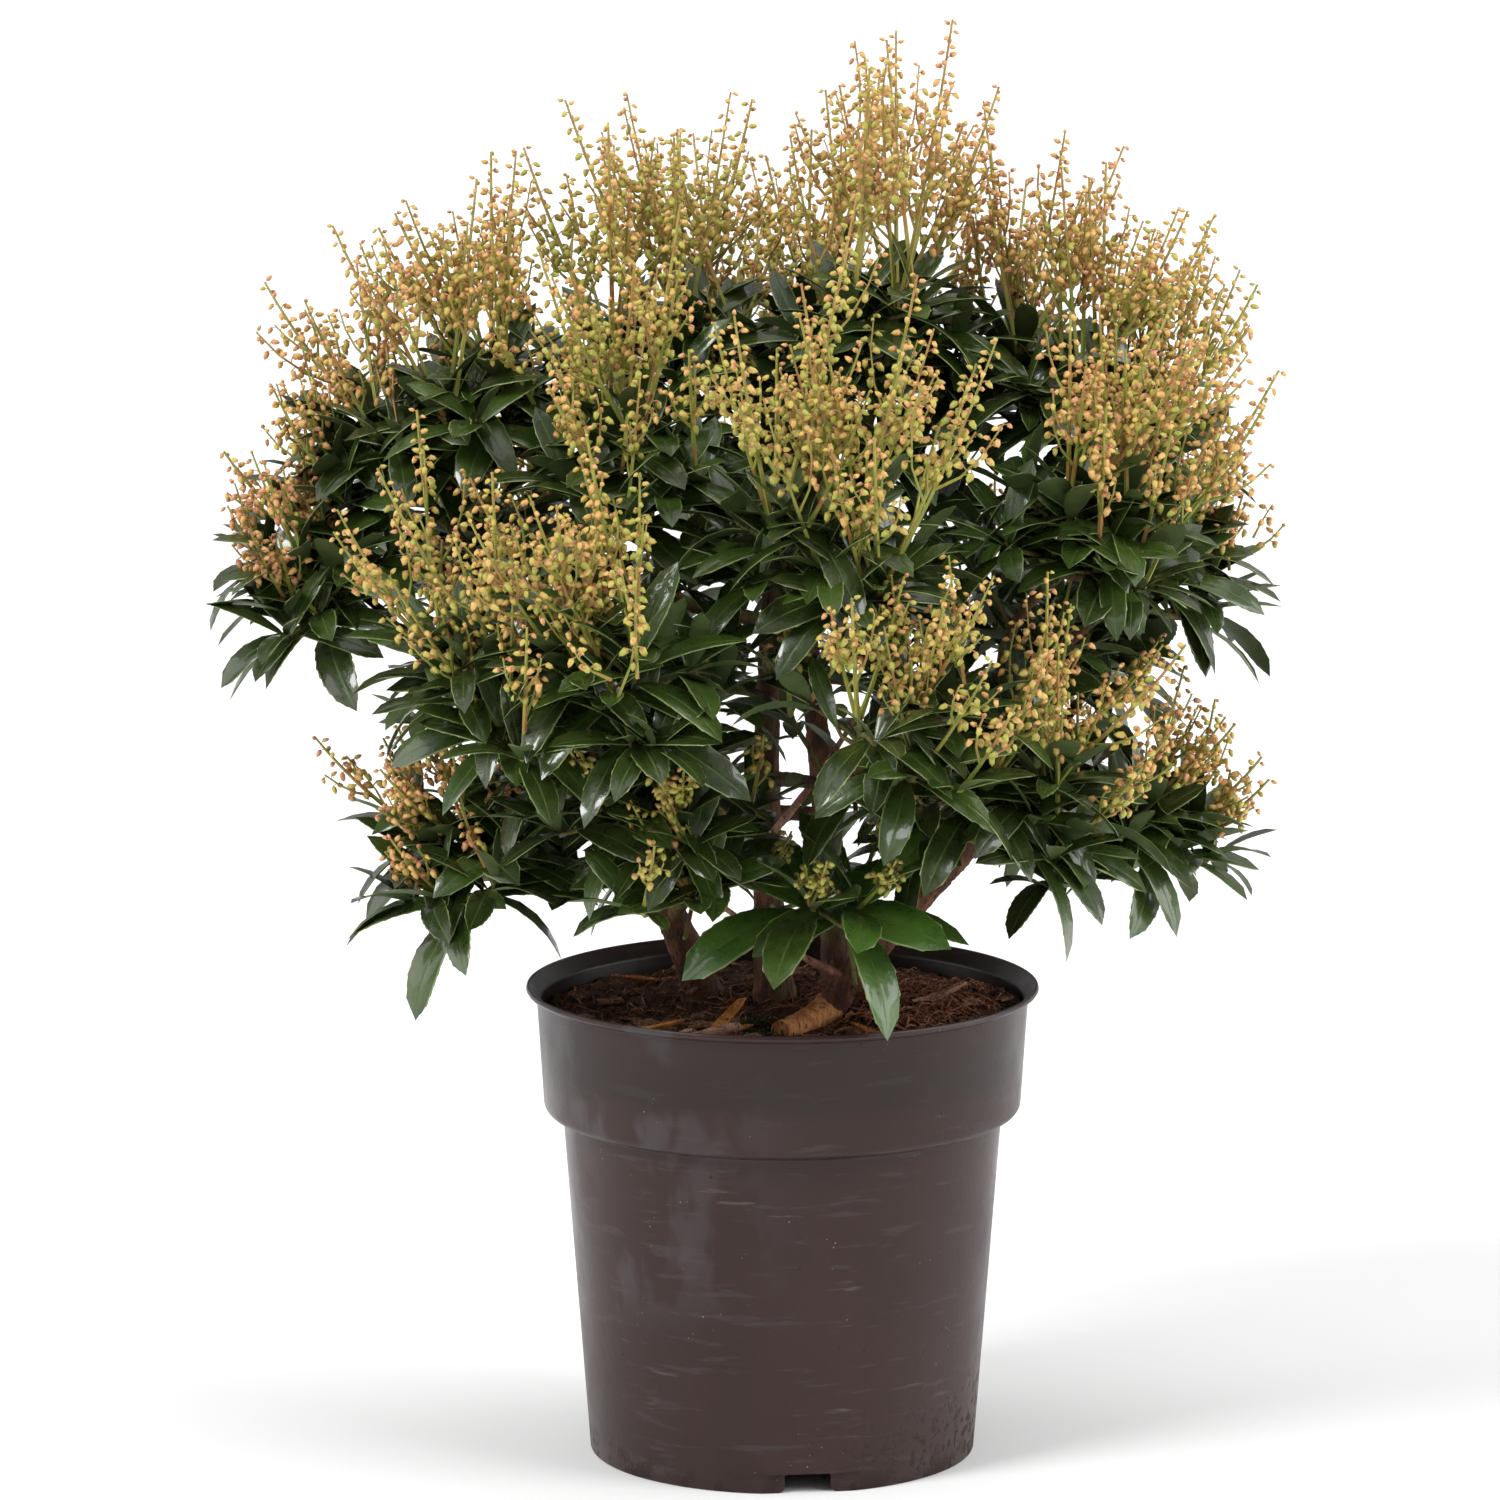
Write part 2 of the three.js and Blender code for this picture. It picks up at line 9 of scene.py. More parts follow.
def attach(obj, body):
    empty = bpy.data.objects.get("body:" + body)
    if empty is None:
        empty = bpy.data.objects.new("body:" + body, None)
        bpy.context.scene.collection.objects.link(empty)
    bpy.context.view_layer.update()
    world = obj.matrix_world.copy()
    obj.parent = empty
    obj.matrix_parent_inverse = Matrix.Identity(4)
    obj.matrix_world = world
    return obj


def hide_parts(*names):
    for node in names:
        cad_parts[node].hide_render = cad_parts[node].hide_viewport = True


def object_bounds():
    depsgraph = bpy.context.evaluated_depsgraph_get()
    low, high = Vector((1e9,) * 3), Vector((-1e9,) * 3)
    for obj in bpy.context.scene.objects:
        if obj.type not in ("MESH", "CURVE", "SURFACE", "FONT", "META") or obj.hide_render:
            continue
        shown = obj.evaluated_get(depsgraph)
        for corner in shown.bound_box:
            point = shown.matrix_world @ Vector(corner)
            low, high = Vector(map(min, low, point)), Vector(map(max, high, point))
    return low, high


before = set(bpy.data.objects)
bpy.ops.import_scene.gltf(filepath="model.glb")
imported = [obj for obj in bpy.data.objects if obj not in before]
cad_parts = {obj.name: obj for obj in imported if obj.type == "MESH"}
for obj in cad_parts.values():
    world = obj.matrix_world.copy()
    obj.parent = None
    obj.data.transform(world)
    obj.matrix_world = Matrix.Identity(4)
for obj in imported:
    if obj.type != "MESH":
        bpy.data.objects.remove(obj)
cad_low, cad_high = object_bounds()


# -------- the pot
# A round nursery pot of brown-grey polypropylene, 19 cm across the lip. It is injection moulded
# in one piece: a thin tapering wall with a wide collar and a flared lip, and a foot ring with
# three drainage notches round a raised floor with six holes.

MM = 0.001
SHARP = 35
FOOT_RADIUS = 71.5

# The section of the wall from under the floor, up the outside and down the inside:
# radius, height, and how far that corner is rounded.
POT_SECTION = [
    (0, 0, 0), (40, 0, 0.5), (42, 8, 0.5), (66.5, 8, 0.5), (67.1, 0, 0.5),
    (FOOT_RADIUS, 0, 0.9), (81.2, 125, 0.8), (81.5, 127.4, 0.8), (87.0, 129.2, 0.8), (88.4, 131.2, 0.8),
    (91.1, 172.3, 0.5), (94.3, 173.7, 0.4), (95, 174.8, 0), (94.7, 176, 0.3), (93.5, 176, 0.4),
    (91.8, 173.9, 0), (89.2, 171.0, 0.8),
    (86.8, 133, 0.8), (79.4, 126, 0.8), (69.7, 9.8, 0.8), (41.8, 9.8, 0.5), (38.2, 1.8, 0.5),
    (0, 1.8, 0),
]
POT_STEPS = 144
NOTCH = {"count": 3, "turn": 7.6, "opening": 17, "recess": 41, "height": 7.6, "set_back": 2.4, "ease": 2.4}
DRAIN = {"count": 6, "radius": 4, "out": 53}


def turned(section, steps):
    """A section of (radius, height, rounding) corners turned about the upright axis."""
    bm = bmesh.new()
    corners = [bm.verts.new((r * MM, 0, z * MM)) for r, z, _ in section]
    edges = [bm.edges.new(pair) for pair in zip(corners, corners[1:])]
    bmesh.ops.spin(bm, geom=corners + edges, cent=(0, 0, 0), axis=(0, 0, 1), angle=2 * pi,
                   steps=steps, use_merge=True)
    bmesh.ops.remove_doubles(bm, verts=bm.verts, dist=1e-6)
    for r, z, rounding in section:
        if rounding:
            at = {v for v in bm.verts
                  if abs(hypot(v.co.x, v.co.y) - r * MM) < 1e-5 and abs(v.co.z - z * MM) < 1e-5}
            ring = [e for e in bm.edges if e.verts[0] in at and e.verts[1] in at]
            bmesh.ops.bevel(bm, geom=ring, offset=rounding * MM, offset_type="OFFSET", segments=3,
                            profile=0.5, affect="EDGES", material=-1)
    bmesh.ops.recalc_face_normals(bm, faces=bm.faces)
    return bm


def mesh_of(bm):
    mesh = bpy.data.meshes.new("shape")
    bm.to_mesh(mesh)
    bm.free()
    return mesh


def piece(name, mesh, materials, sharp=SHARP):
    """A finished piece at the origin, smooth except where its faces meet at more than `sharp`."""
    mesh.name = name
    mesh.shade_smooth()
    mesh.set_sharp_from_angle(angle=radians(sharp))
    for material in materials:
        mesh.materials.append(material)
    made = bpy.data.objects.new(name, mesh)
    bpy.context.scene.collection.objects.link(made)
    return made


def cut(solid, shape):
    """Takes a shape out of a finished piece."""
    cutter = piece("cutter", mesh_of(shape), [])
    knife = solid.modifiers.new("cut", "BOOLEAN")
    knife.object, knife.operation, knife.solver = cutter, "DIFFERENCE", "EXACT"
    graph = bpy.context.evaluated_depsgraph_get()
    whole = solid.data
    solid.data = bpy.data.meshes.new_from_object(solid.evaluated_get(graph))
    solid.modifiers.clear()
    solid.data.name = solid.name
    bpy.data.meshes.remove(whole)
    bpy.data.objects.remove(cutter)


def notch_cutter(side, near, far=80):
    """For each notch, a block from `near` to `far` with this half outline, in the foot's face."""
    bm = bmesh.new()
    outline = side + [(-x, z) for x, z in reversed(side)]
    for i in range(NOTCH["count"]):
        turn = Matrix.Rotation(radians(NOTCH["turn"] - 90 + 360 * i / NOTCH["count"]), 3, "Z")
        face = bm.faces.new([bm.verts.new(turn @ Vector((near, x, z)) * MM) for x, z in outline])
        block = bmesh.ops.extrude_face_region(bm, geom=[face])["geom"]
        moved = [v for v in block if isinstance(v, bmesh.types.BMVert)]
        bmesh.ops.translate(bm, verts=moved, vec=turn @ Vector(((far - near) * MM, 0, 0)))
    bmesh.ops.recalc_face_normals(bm, faces=bm.faces)
    return bm


def drain_cutters():
    bm = bmesh.new()
    radius = DRAIN["radius"] * MM
    for i in range(DRAIN["count"]):
        angle = (i + 0.5) * 2 * pi / DRAIN["count"]
        place = Vector((DRAIN["out"] * cos(angle), DRAIN["out"] * sin(angle), 9)) * MM
        bmesh.ops.create_cone(bm, cap_ends=True, segments=24, radius1=radius, radius2=radius,
                              depth=14 * MM, matrix=Matrix.Translation(place))
    return bm


def put(tree, kind, *values, **named):
    """A shader node in a tree. Values go to its sockets in order, named ones to its settings
    or to the sockets of that name, and a socket as a value is linked."""
    made = tree.nodes.new("ShaderNode" + kind)
    sockets = list(enumerate(values))
    for name, value in named.items():
        if hasattr(made, name):
            setattr(made, name, value)
        else:
            sockets.append((name.replace("_", " "), value))
    for place, value in sockets:
        if isinstance(value, bpy.types.NodeSocket):
            tree.links.new(value, made.inputs[place])
        elif value is not None:
            made.inputs[place].default_value = value
    return made


def patches_group():
    """Soft-edged patches: a mask from noise on the piece's own coordinates. Size is in metres,
    Stretch squeezes the pattern along each axis, and Level and Soft set where it begins."""
    group = bpy.data.node_groups.new("patches", "ShaderNodeTree")
    for name, kind, start in (("Size", "Float", 0.01), ("Stretch", "Vector", (1, 1, 1)),
                              ("Level", "Float", 0.55), ("Soft", "Float", 0.05)):
        socket = group.interface.new_socket(name, in_out="INPUT", socket_type="NodeSocket" + kind)
        socket.default_value = start
    for name in ("Mask", "Value"):
        group.interface.new_socket(name, in_out="OUTPUT", socket_type="NodeSocketFloat")
    given = group.nodes.new("NodeGroupInput").outputs
    place = put(group, "TexCoord").outputs["Object"]
    place = put(group, "VectorMath", place, given["Stretch"], operation="MULTIPLY").outputs[0]
    fineness = put(group, "Math", 1.0, given["Size"], operation="DIVIDE").outputs[0]
    value = put(group, "TexNoise", Vector=place, Scale=fineness, Detail=4.0, Roughness=0.6).outputs[0]
    low = put(group, "Math", given["Level"], given["Soft"], operation="SUBTRACT").outputs[0]
    high = put(group, "Math", given["Level"], given["Soft"], operation="ADD").outputs[0]
    mask = put(group, "MapRange", value, low, high, interpolation_type="SMOOTHSTEP").outputs[0]
    result = group.nodes.new("NodeGroupOutput").inputs
    group.links.new(mask, result["Mask"])
    group.links.new(value, result["Value"])
    return group


PATCHES = patches_group()


def patches(tree, size, level=0.55, soft=0.05, stretch=(1, 1, 1), output="Mask"):
    """A mask of patches, or with "Value" the noise behind it."""
    made = put(tree, "Group", node_tree=PATCHES, Size=size, Level=level, Soft=soft, Stretch=stretch)
    return made.outputs[output]


def times(tree, product, *factors):
    for factor in factors:
        product = put(tree, "Math", product, factor, operation="MULTIPLY").outputs[0]
    return product


def ramp(tree, value, low, high):
    """0 below low, 1 above high, and the other way round if low is the larger."""
    return put(tree, "MapRange", value, low, high, interpolation_type="SMOOTHSTEP").outputs[0]


def finish_of(name, **shader):
    """A new material and its node tree, with these plain values set on its shader."""
    material = bpy.data.materials.new(name)
    material.use_nodes = True
    for socket, value in shader.items():
        sockets = material.node_tree.nodes["Principled BSDF"].inputs
        sockets[socket.replace("_", " ")].default_value = value
    return material, material.node_tree


def feed(tree, socket, value):
    tree.links.new(value, tree.nodes["Principled BSDF"].inputs[socket])


def painted(tree, colour, *layers):
    """Gives the shader this base colour with (mask, colour) layers laid over it in order."""
    colour = (*colour, 1)
    for mask, over in layers:
        # The mix's own colours are its sockets 6 and 7.
        colour = put(tree, "Mix", mask, *[None] * 5, colour, (*over, 1), data_type="RGBA").outputs[2]
    feed(tree, "Base Color", colour)


def relief(tree, height, depth, strength=1.0):
    feed(tree, "Normal", put(tree, "Bump", Strength=strength, Distance=depth, Height=height).outputs[0])


def pot_plastic():
    material, tree = finish_of("pot plastic", Specular_IOR_Level=0.3)
    place = put(tree, "TexCoord").outputs["Object"]
    x, y, z = put(tree, "SeparateXYZ", place).outputs
    smudge = patches(tree, 0.05, 0.53, 0.035, (1, 1, 0.6))
    smudge = times(tree, smudge, ramp(tree, x, 0.02, -0.07), ramp(tree, z, 0.05, 0.09))
    wiped = patches(tree, 0.03, 0.62, 0.05, (1, 1, 7))
    scuffs = times(tree, patches(tree, 0.022, 0.65, 0.05, (0.6, 0.6, 7)), patches(tree, 0.06, 0.58))
    cells = put(tree, "TexVoronoi", place, Scale=330).outputs[0]
    specks = times(tree, ramp(tree, cells, 0.13, 0.05), patches(tree, 0.02, 0.6, 0.03))
    low_right = times(tree, ramp(tree, x, 0.0, 0.06), ramp(tree, z, 0.045, 0.005))
    splash = times(tree, ramp(tree, z, 0.014, 0.0), patches(tree, 0.01, 0.52, 0.06))
    soil = times(tree, patches(tree, 0.0035, 0.56, 0.03), low_right)
    soil = put(tree, "Math", soil, splash, operation="MAXIMUM").outputs[0]
    grains = put(tree, "TexVoronoi", place, Scale=120).outputs[0]
    crumbs = times(tree, ramp(tree, grains, 0.1, 0.06), patches(tree, 0.03, 0.6, 0.02))
    soil = put(tree, "Math", soil, crumbs, operation="MAXIMUM").outputs[0]
    level = put(tree, "VectorMath", place, (1, 1, 0), operation="MULTIPLY").outputs[0]
    out = put(tree, "VectorMath", level, operation="LENGTH").outputs[1]
    # Painted shade: the inner wall below the lip is darkened where the pot's own shadow falls inside it.
    painted_shade_inside = times(tree, ramp(tree, out, 0.0925, 0.0895), ramp(tree, z, 0.14, 0.15))
    painted(
        tree, (0.0265, 0.0105, 0.0097),
        (patches(tree, 0.09, 0.5, 0.2), (0.034, 0.0152, 0.0142)),
        (times(tree, smudge, 0.75), (0.058, 0.049, 0.051)),
        (times(tree, wiped, 0.4), (0.055, 0.044, 0.045)),
        (times(tree, scuffs, 0.5), (0.11, 0.090, 0.086)),
        (times(tree, specks, 0.7), (0.30, 0.25, 0.22)),
        # painted shade on the inner wall
        (times(tree, painted_shade_inside, 0.6), (0.012, 0.009, 0.008)),
        (times(tree, soil, 0.85), (0.022, 0.012, 0.008)),
    )
    rough = put(tree, "MapRange", patches(tree, 0.025, output="Value"), 0.3, 0.7, 0.28, 0.42)
    rough = put(tree, "Math", rough.outputs[0], times(tree, soil, 0.4), operation="ADD")
    feed(tree, "Roughness", rough.outputs[0])
    moulded = patches(tree, 0.0016, output="Value")
    height = put(tree, "Math", moulded, times(tree, soil, 3.0), operation="ADD").outputs[0]
    relief(tree, height, 0.0002, 0.35)
    return material


pot = piece("nursery_pot", mesh_of(turned(POT_SECTION, POT_STEPS)), [pot_plastic()])
half, wide = NOTCH["opening"] / 2, NOTCH["recess"] / 2
tall, ease = NOTCH["height"], NOTCH["ease"]
OPENING = [(-half - ease, -2), (-half - ease, -0.01)]
OPENING += [(-half - ease * (1 - sin(a)), ease * (1 - cos(a))) for a in (0.5, 1.0, pi / 2)]
OPENING += [(-half, tall - 0.9), (-half + 0.9, tall)]
RECESS = [(-wide - 1.5, -2), (-wide, tall - 1.4), (-wide + 1.2, tall - 0.2)]
cut(pot, notch_cutter(RECESS, FOOT_RADIUS - NOTCH["set_back"]))
cut(pot, notch_cutter(OPENING, 60))
cut(pot, drain_cutters())
pot.data.set_sharp_from_angle(angle=radians(SHARP))
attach(pot, "root")
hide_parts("pot")


# -------- the compost
# Dark peat and bark compost that fills the pot to a finger's width below the lip. It is pressed
# in by hand round the root ball: a low lumpy mound, higher on the right, that has shrunk a
# little from the wall.

COMPOST_LEVEL = 166
COMPOST_MOUND = 4
COMPOST_EDGE = 88.0
COMPOST_STEPS, COMPOST_RINGS = 200, 68
CRUMBLE_SIZE, CRUMBLE_DEPTH = 1.7, 0.55
# The heap on the right, the dip on the left: middle, height and the square of its reach.
COMPOST_SWELLS = [((62, -8), 6.5, 1300), ((-52, -6), -3, 900)]
COMPOST_LUMPS = [(15, 3.1, 1.8), (6.5, 7.7, 1.2), (3.2, 1.3, 0.9)]  # size, where in the noise, height


def ground(x, y):
    """Height of the compost's surface in millimetres."""
    height = COMPOST_LEVEL + COMPOST_MOUND * (1 - hypot(x, y) / COMPOST_EDGE)
    for (middle_x, middle_y), rise, reach in COMPOST_SWELLS:
        height += rise * exp(-((x - middle_x) ** 2 + (y - middle_y) ** 2) / reach)
    for size, shift, rise in COMPOST_LUMPS:
        height += rise * noise.noise(Vector((x / size, y / size, shift)))
    return height


def shaken(point):
    """A smooth unevenness at a point, as a vector: the same in each run."""
    return Vector([noise.noise(point + Vector((0, 0, shift))) for shift in (0, 31.4, 57.9)])


def on_compost(x, y, margin=2):
    return hypot(x, y) < COMPOST_EDGE - margin


def compost_body():
    wall = [(0, 2.1), (37.9, 2.1), (41.5, 10.1), (69.4, 10.1), (79.1, 126), (86.5, 133),
            (COMPOST_EDGE, COMPOST_LEVEL)]
    top = [(COMPOST_EDGE * (1 - i / COMPOST_RINGS), COMPOST_LEVEL) for i in range(1, COMPOST_RINGS + 1)]
    bm = turned([(r, z, 0) for r, z in wall + top], COMPOST_STEPS)
    for v in bm.verts:
        if v.co.z > (COMPOST_LEVEL - 1) * MM:
            x, y = v.co.x / MM, v.co.y / MM
            v.co.z = ground(x, y) * MM
            if on_compost(x, y):
                v.co += shaken(Vector((x / CRUMBLE_SIZE, y / CRUMBLE_SIZE, 5))) * CRUMBLE_DEPTH * MM
    bmesh.ops.recalc_face_normals(bm, faces=bm.faces)
    return bm


def earth(name, dark, warm, pale, rough=0.95):
    material, tree = finish_of(name, Roughness=rough, Specular_IOR_Level=0.3)
    painted(
        tree, dark,
        (patches(tree, 0.006, 0.5, 0.1), warm),
        (times(tree, patches(tree, 0.0012, 0.6, 0.05), 0.7), pale),
        (patches(tree, 0.0022, 0.6, 0.06), tuple(0.35 * part for part in dark)),
    )
    relief(tree, patches(tree, 0.0011, output="Value"), 0.0012)
    return material


EARTH = earth("compost", (0.034, 0.015, 0.009), (0.095, 0.039, 0.021), (0.30, 0.145, 0.08))
compost = piece("compost_fill", mesh_of(compost_body()), [EARTH], 80)
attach(compost, "root")
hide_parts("compost")


# -------- crumbs, fibres, bark and dead leaves
# What lies loose on the compost: peat crumbs, reddish coir fibres, thickest on the right,
# chips of composted bark, a cushion of moss in front of the stems, and old leaves and bark
# scales, most of which have dropped at the front left.

LITTER = np.random.default_rng(19)
# The share of the fibres that lie in a heap on the right, and its middle and spread along x and y.
HEAPED, FIBRE_HEAP = 0.72, ((50, 20), (-8, 32))


def arrays_of(shape):
    """The points, corners, face starts and finishes of a small mesh."""
    points = np.empty(len(shape.vertices) * 3)
    corners = np.empty(len(shape.loops), np.int32)
    starts = np.empty(len(shape.polygons), np.int32)
    finishes = np.empty(len(shape.polygons), np.int32)
    shape.vertices.foreach_get("co", points)
    shape.loops.foreach_get("vertex_index", corners)
    shape.polygons.foreach_get("loop_start", starts)
    shape.polygons.foreach_get("material_index", finishes)
    return points.reshape(-1, 3), corners, starts, finishes


def copies(name, batches, materials, sharp=50):
    """One mesh out of many copies. Each batch is a small mesh and its places: for each copy
    the turn, scale included, as a 3 x 3 matrix, and the point it stands on, in metres."""
    points, corners, starts, finishes, point_count, corner_count = [], [], [], [], 0, 0
    for shape, places in batches:
        if not places:
            continue
        p, c, s, f = arrays_of(shape)
        turns = np.array([turn for turn, _ in places])
        stands = np.array([stand for _, stand in places])
        row = np.arange(len(places))[:, None]
        points.append((p @ turns.transpose(0, 2, 1) + stands[:, None]).reshape(-1, 3))
        corners.append((c + row * len(p) + point_count).ravel())
        starts.append((s + row * len(c) + corner_count).ravel())
        finishes.append(np.tile(f, len(places)))
        point_count += len(p) * len(places)
        corner_count += len(c) * len(places)
    points, corners = np.concatenate(points), np.concatenate(corners)
    starts, finishes = np.concatenate(starts), np.concatenate(finishes)
    mesh = bpy.data.meshes.new(name)
    mesh.vertices.add(len(points))
    mesh.vertices.foreach_set("co", points.ravel())
    mesh.loops.add(len(corners))
    mesh.loops.foreach_set("vertex_index", corners)
    mesh.polygons.add(len(starts))
    mesh.polygons.foreach_set("loop_start", starts)
    mesh.update(calc_edges=True)
    mesh.validate()
    made = piece(name, mesh, materials, sharp)
    made.data.polygons.foreach_set("material_index", finishes)
    return made


def tumbled(random, size, flat=1.0):
    """A random turn, scaled to a size in millimetres. What is flat stays nearly level."""
    spin = Matrix.Rotation(random.uniform(0, 2 * pi), 3, "Z")
    tilt = random.uniform(-0.6, 0.6) + (0 if flat < 1 else random.uniform(0, 3))
    shape = Matrix.Diagonal((size, size * random.uniform(0.6, 1), size * flat))
    return np.array(spin @ Matrix.Rotation(tilt, 3, "X") @ shape) * MM


def scattered(random, count, near, far, lift, size, flat=1.0, about=(0, 0)):
    """Places on the compost between two distances from a point, for small things of that size."""
    places = []
    while len(places) < count:
        angle, out = random.uniform(0, 2 * pi), sqrt(random.uniform(near ** 2, far ** 2))
        x, y = about[0] + out * cos(angle), about[1] + out * sin(angle)
        if on_compost(x, y, 4):
            stand = np.array([x, y, ground(x, y) + lift]) * MM
            places.append((tumbled(random, random.uniform(*size), flat), stand))
    return places


def crumb_shape():
    bm = bmesh.new()
    bmesh.ops.create_icosphere(bm, subdivisions=1, radius=0.5)
    for v in bm.verts:
        v.co *= 1 + 0.5 * noise.noise(v.co * 3)
    return mesh_of(bm)


def chip_shape():
    bm = bmesh.new()
    bmesh.ops.create_cube(bm, size=1)
    bmesh.ops.subdivide_edges(bm, edges=bm.edges, cuts=1, use_grid_fill=True)
    for v in bm.verts:
        v.co = Vector((v.co.x * 1.5, v.co.y, v.co.z * 0.35)) + shaken(v.co * 2.3) * 0.22
    return mesh_of(bm)


def rods(name, strands, fineness, materials, sharp=60):
    """One mesh of round rods. Each strand is its points in millimetres and the radius at each."""
    curve = bpy.data.curves.new(name, "CURVE")
    curve.dimensions, curve.bevel_depth, curve.bevel_resolution = "3D", 1, fineness
    curve.use_fill_caps = True
    for points, widths in strands:
        spline = curve.splines.new("POLY")
        spline.points.add(len(points) - 1)
        flat = np.column_stack([np.asarray(points) * MM, np.ones(len(points))])
        spline.points.foreach_set("co", flat.ravel())
        spline.points.foreach_set("radius", np.asarray(widths) * MM)
    drawn = bpy.data.objects.new(name, curve)
    bpy.context.scene.collection.objects.link(drawn)
    graph = bpy.context.evaluated_depsgraph_get()
    mesh = bpy.data.meshes.new_from_object(drawn.evaluated_get(graph))
    bpy.data.objects.remove(drawn)
    bm = bmesh.new()
    bm.from_mesh(mesh)
    bmesh.ops.remove_doubles(bm, verts=bm.verts, dist=1e-7)
    bmesh.ops.recalc_face_normals(bm, faces=bm.faces)
    return piece(name, mesh_of(bm), materials, sharp)


def fibres(random, count):
    strands = []
    while len(strands) < count:
        if random.random() < HEAPED:
            x, y = [random.normal(*along_axis) for along_axis in FIBRE_HEAP]
        else:
            x, y = random.uniform(-80, 80, 2)
        if not on_compost(x, y, 6):
            continue
        way, length = random.uniform(0, 2 * pi), random.uniform(5, 16)
        rise, bend = random.uniform(-0.1, 0.5), random.uniform(-0.9, 0.9)
        points, height = [], ground(x, y) + 0.1
        for i in range(5):
            points.append((x, y, height + rise * length * 0.55 * sin(pi * i / 4) + 0.1))
            x += cos(way + bend * i / 2) * length / 4
            y += sin(way + bend * i / 2) * length / 4
            if on_compost(x, y):
                height = ground(x, y)
        if on_compost(x, y):
            radius = random.uniform(0.14, 0.34)
            strands.append((points, [radius, radius, radius, radius * 0.8, radius * 0.4]))
    return strands


def moss_shape():
    bm = bmesh.new()
    bmesh.ops.create_cone(bm, cap_ends=True, segments=3, radius1=0.3, radius2=0.05, depth=1,
                          matrix=Matrix.Translation((0, 0, 0.45)))
    return mesh_of(bm)


def dead_leaf(middle, way, length, width, curl, tilt):
    """An old leaf lying on the compost, its sides and its tip curled up."""
    bm = bmesh.new()
    bmesh.ops.create_grid(bm, x_segments=14, y_segments=6, size=0.5)
    for v in bm.verts:
        t, across = v.co.x + 0.5, v.co.y * 2
        half = width * (max(t, 0.02) ** 0.8) * (1 - t) ** 0.5 + 0.2
        lift = curl * (across ** 2) * half * 0.7 + curl * length * 0.35 * (t - 0.35) ** 2
        wave = 0.8 * noise.noise(Vector((t * 4, across, way)))
        v.co = Vector(((t - 0.5) * length, across * half * (1 - 0.2 * curl), lift + wave))
    bmesh.ops.solidify(bm, geom=bm.faces[:], thickness=0.35)
    turn = Matrix.Rotation(radians(way), 3, "Z") @ Matrix.Rotation(radians(tilt), 3, "Y")
    for v in bm.verts:
        v.co = (turn @ v.co + Vector(middle) + Vector((0, 0, ground(middle[0], middle[1])))) * MM
    bmesh.ops.recalc_face_normals(bm, faces=bm.faces)
    return bm


def fallen(name, leaves, materials):
    """One piece out of old leaves, or bark scales of that form, each with its place and shape."""
    whole = bmesh.new()
    for leaf in leaves:
        whole.from_mesh(mesh_of(dead_leaf(*leaf)))
    return piece(name, mesh_of(whole), materials)


CRUMB_EARTH = earth("peat crumbs", (0.048, 0.021, 0.012), (0.145, 0.060, 0.032), (0.33, 0.165, 0.09))
crumb_places = scattered(LITTER, 1000, 0, 84, 0.2, (0.9, 2.8))
crumb_places += scattered(LITTER, 400, 0, 40, 0.4, (1.0, 3.0), about=(52, -10))
crumbs = copies("compost_crumbs", [(crumb_shape(), crumb_places)], [CRUMB_EARTH], 80)
FIBRE = earth("coir fibre", (0.27, 0.100, 0.055), (0.44, 0.185, 0.105), (0.66, 0.38, 0.24), 0.8)
fibre_mat = rods("compost_fibres", fibres(LITTER, 900), 0, [FIBRE])
CHIP = earth("composted bark", (0.15, 0.066, 0.036), (0.31, 0.14, 0.07), (0.52, 0.33, 0.21), 0.8)
chip_places = scattered(LITTER, 46, 0, 82, 0.6, (3, 7), 0.6)
chip_places += scattered(LITTER, 40, 0, 26, 0.9, (4, 9), 0.6, about=(-38, -56))
chips = copies("bark_chips", [(chip_shape(), chip_places)], [CHIP])
MOSS = earth("moss", (0.020, 0.028, 0.008), (0.045, 0.060, 0.016), (0.13, 0.14, 0.045))
moss_places = scattered(LITTER, 700, 0, 17, 0, (1.6, 3.6), 1.1, about=(-8, -52))
moss_places += scattered(LITTER, 300, 0, 10, 0, (1.5, 3.0), 1.1, about=(16, -66))
moss = copies("moss", [(moss_shape(), moss_places)], [MOSS])

# Each leaf's and each scale's middle, with its height above the compost, its turn, length and
# half width, how far it is curled, and how far it is tilted.
DEAD = earth("dead leaves", (0.50, 0.175, 0.038), (0.68, 0.29, 0.075), (0.80, 0.52, 0.27), 0.45)
dead_leaves = fallen("dead_leaves", [
    ((-24, -58, 3.5), 35, 34, 8, 0.9, -28),
    ((-30, -66, 1.5), 8, 40, 7, 0.7, -6),
    ((-69, -36, 1.5), -28, 24, 8, 0.5, 4),
    ((-50, -52, 1.0), 20, 30, 5, 0.9, 2),
    ((34, -58, 0.8), 140, 24, 4, 0.9, 0),
    ((30, 60, 1.0), 80, 34, 7, 0.8, 4),
    ((-50, 44, 1.0), 200, 30, 6, 0.8, 0),
], [DEAD])
SCALE = earth("bark scales", (0.30, 0.145, 0.10), (0.50, 0.27, 0.18), (0.78, 0.58, 0.42), 0.5)
bark_scales = fallen("bark_scales", [
    ((-26, -72, 2.6), -12, 24, 11, 1.2, -4),
    ((-16, -74, 1.4), 25, 18, 8, 1.4, 6),
    ((-42, -62, 1.0), 15, 22, 6, 1.0, 0),
    ((-34, 12, 3.0), 60, 18, 8, 1.3, 12),
    ((58, -26, 2.4), 20, 22, 5, 1.2, -8),
], [SCALE])
for loose in (crumbs, fibre_mat, chips, moss, dead_leaves, bark_scales):
    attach(loose, "root")


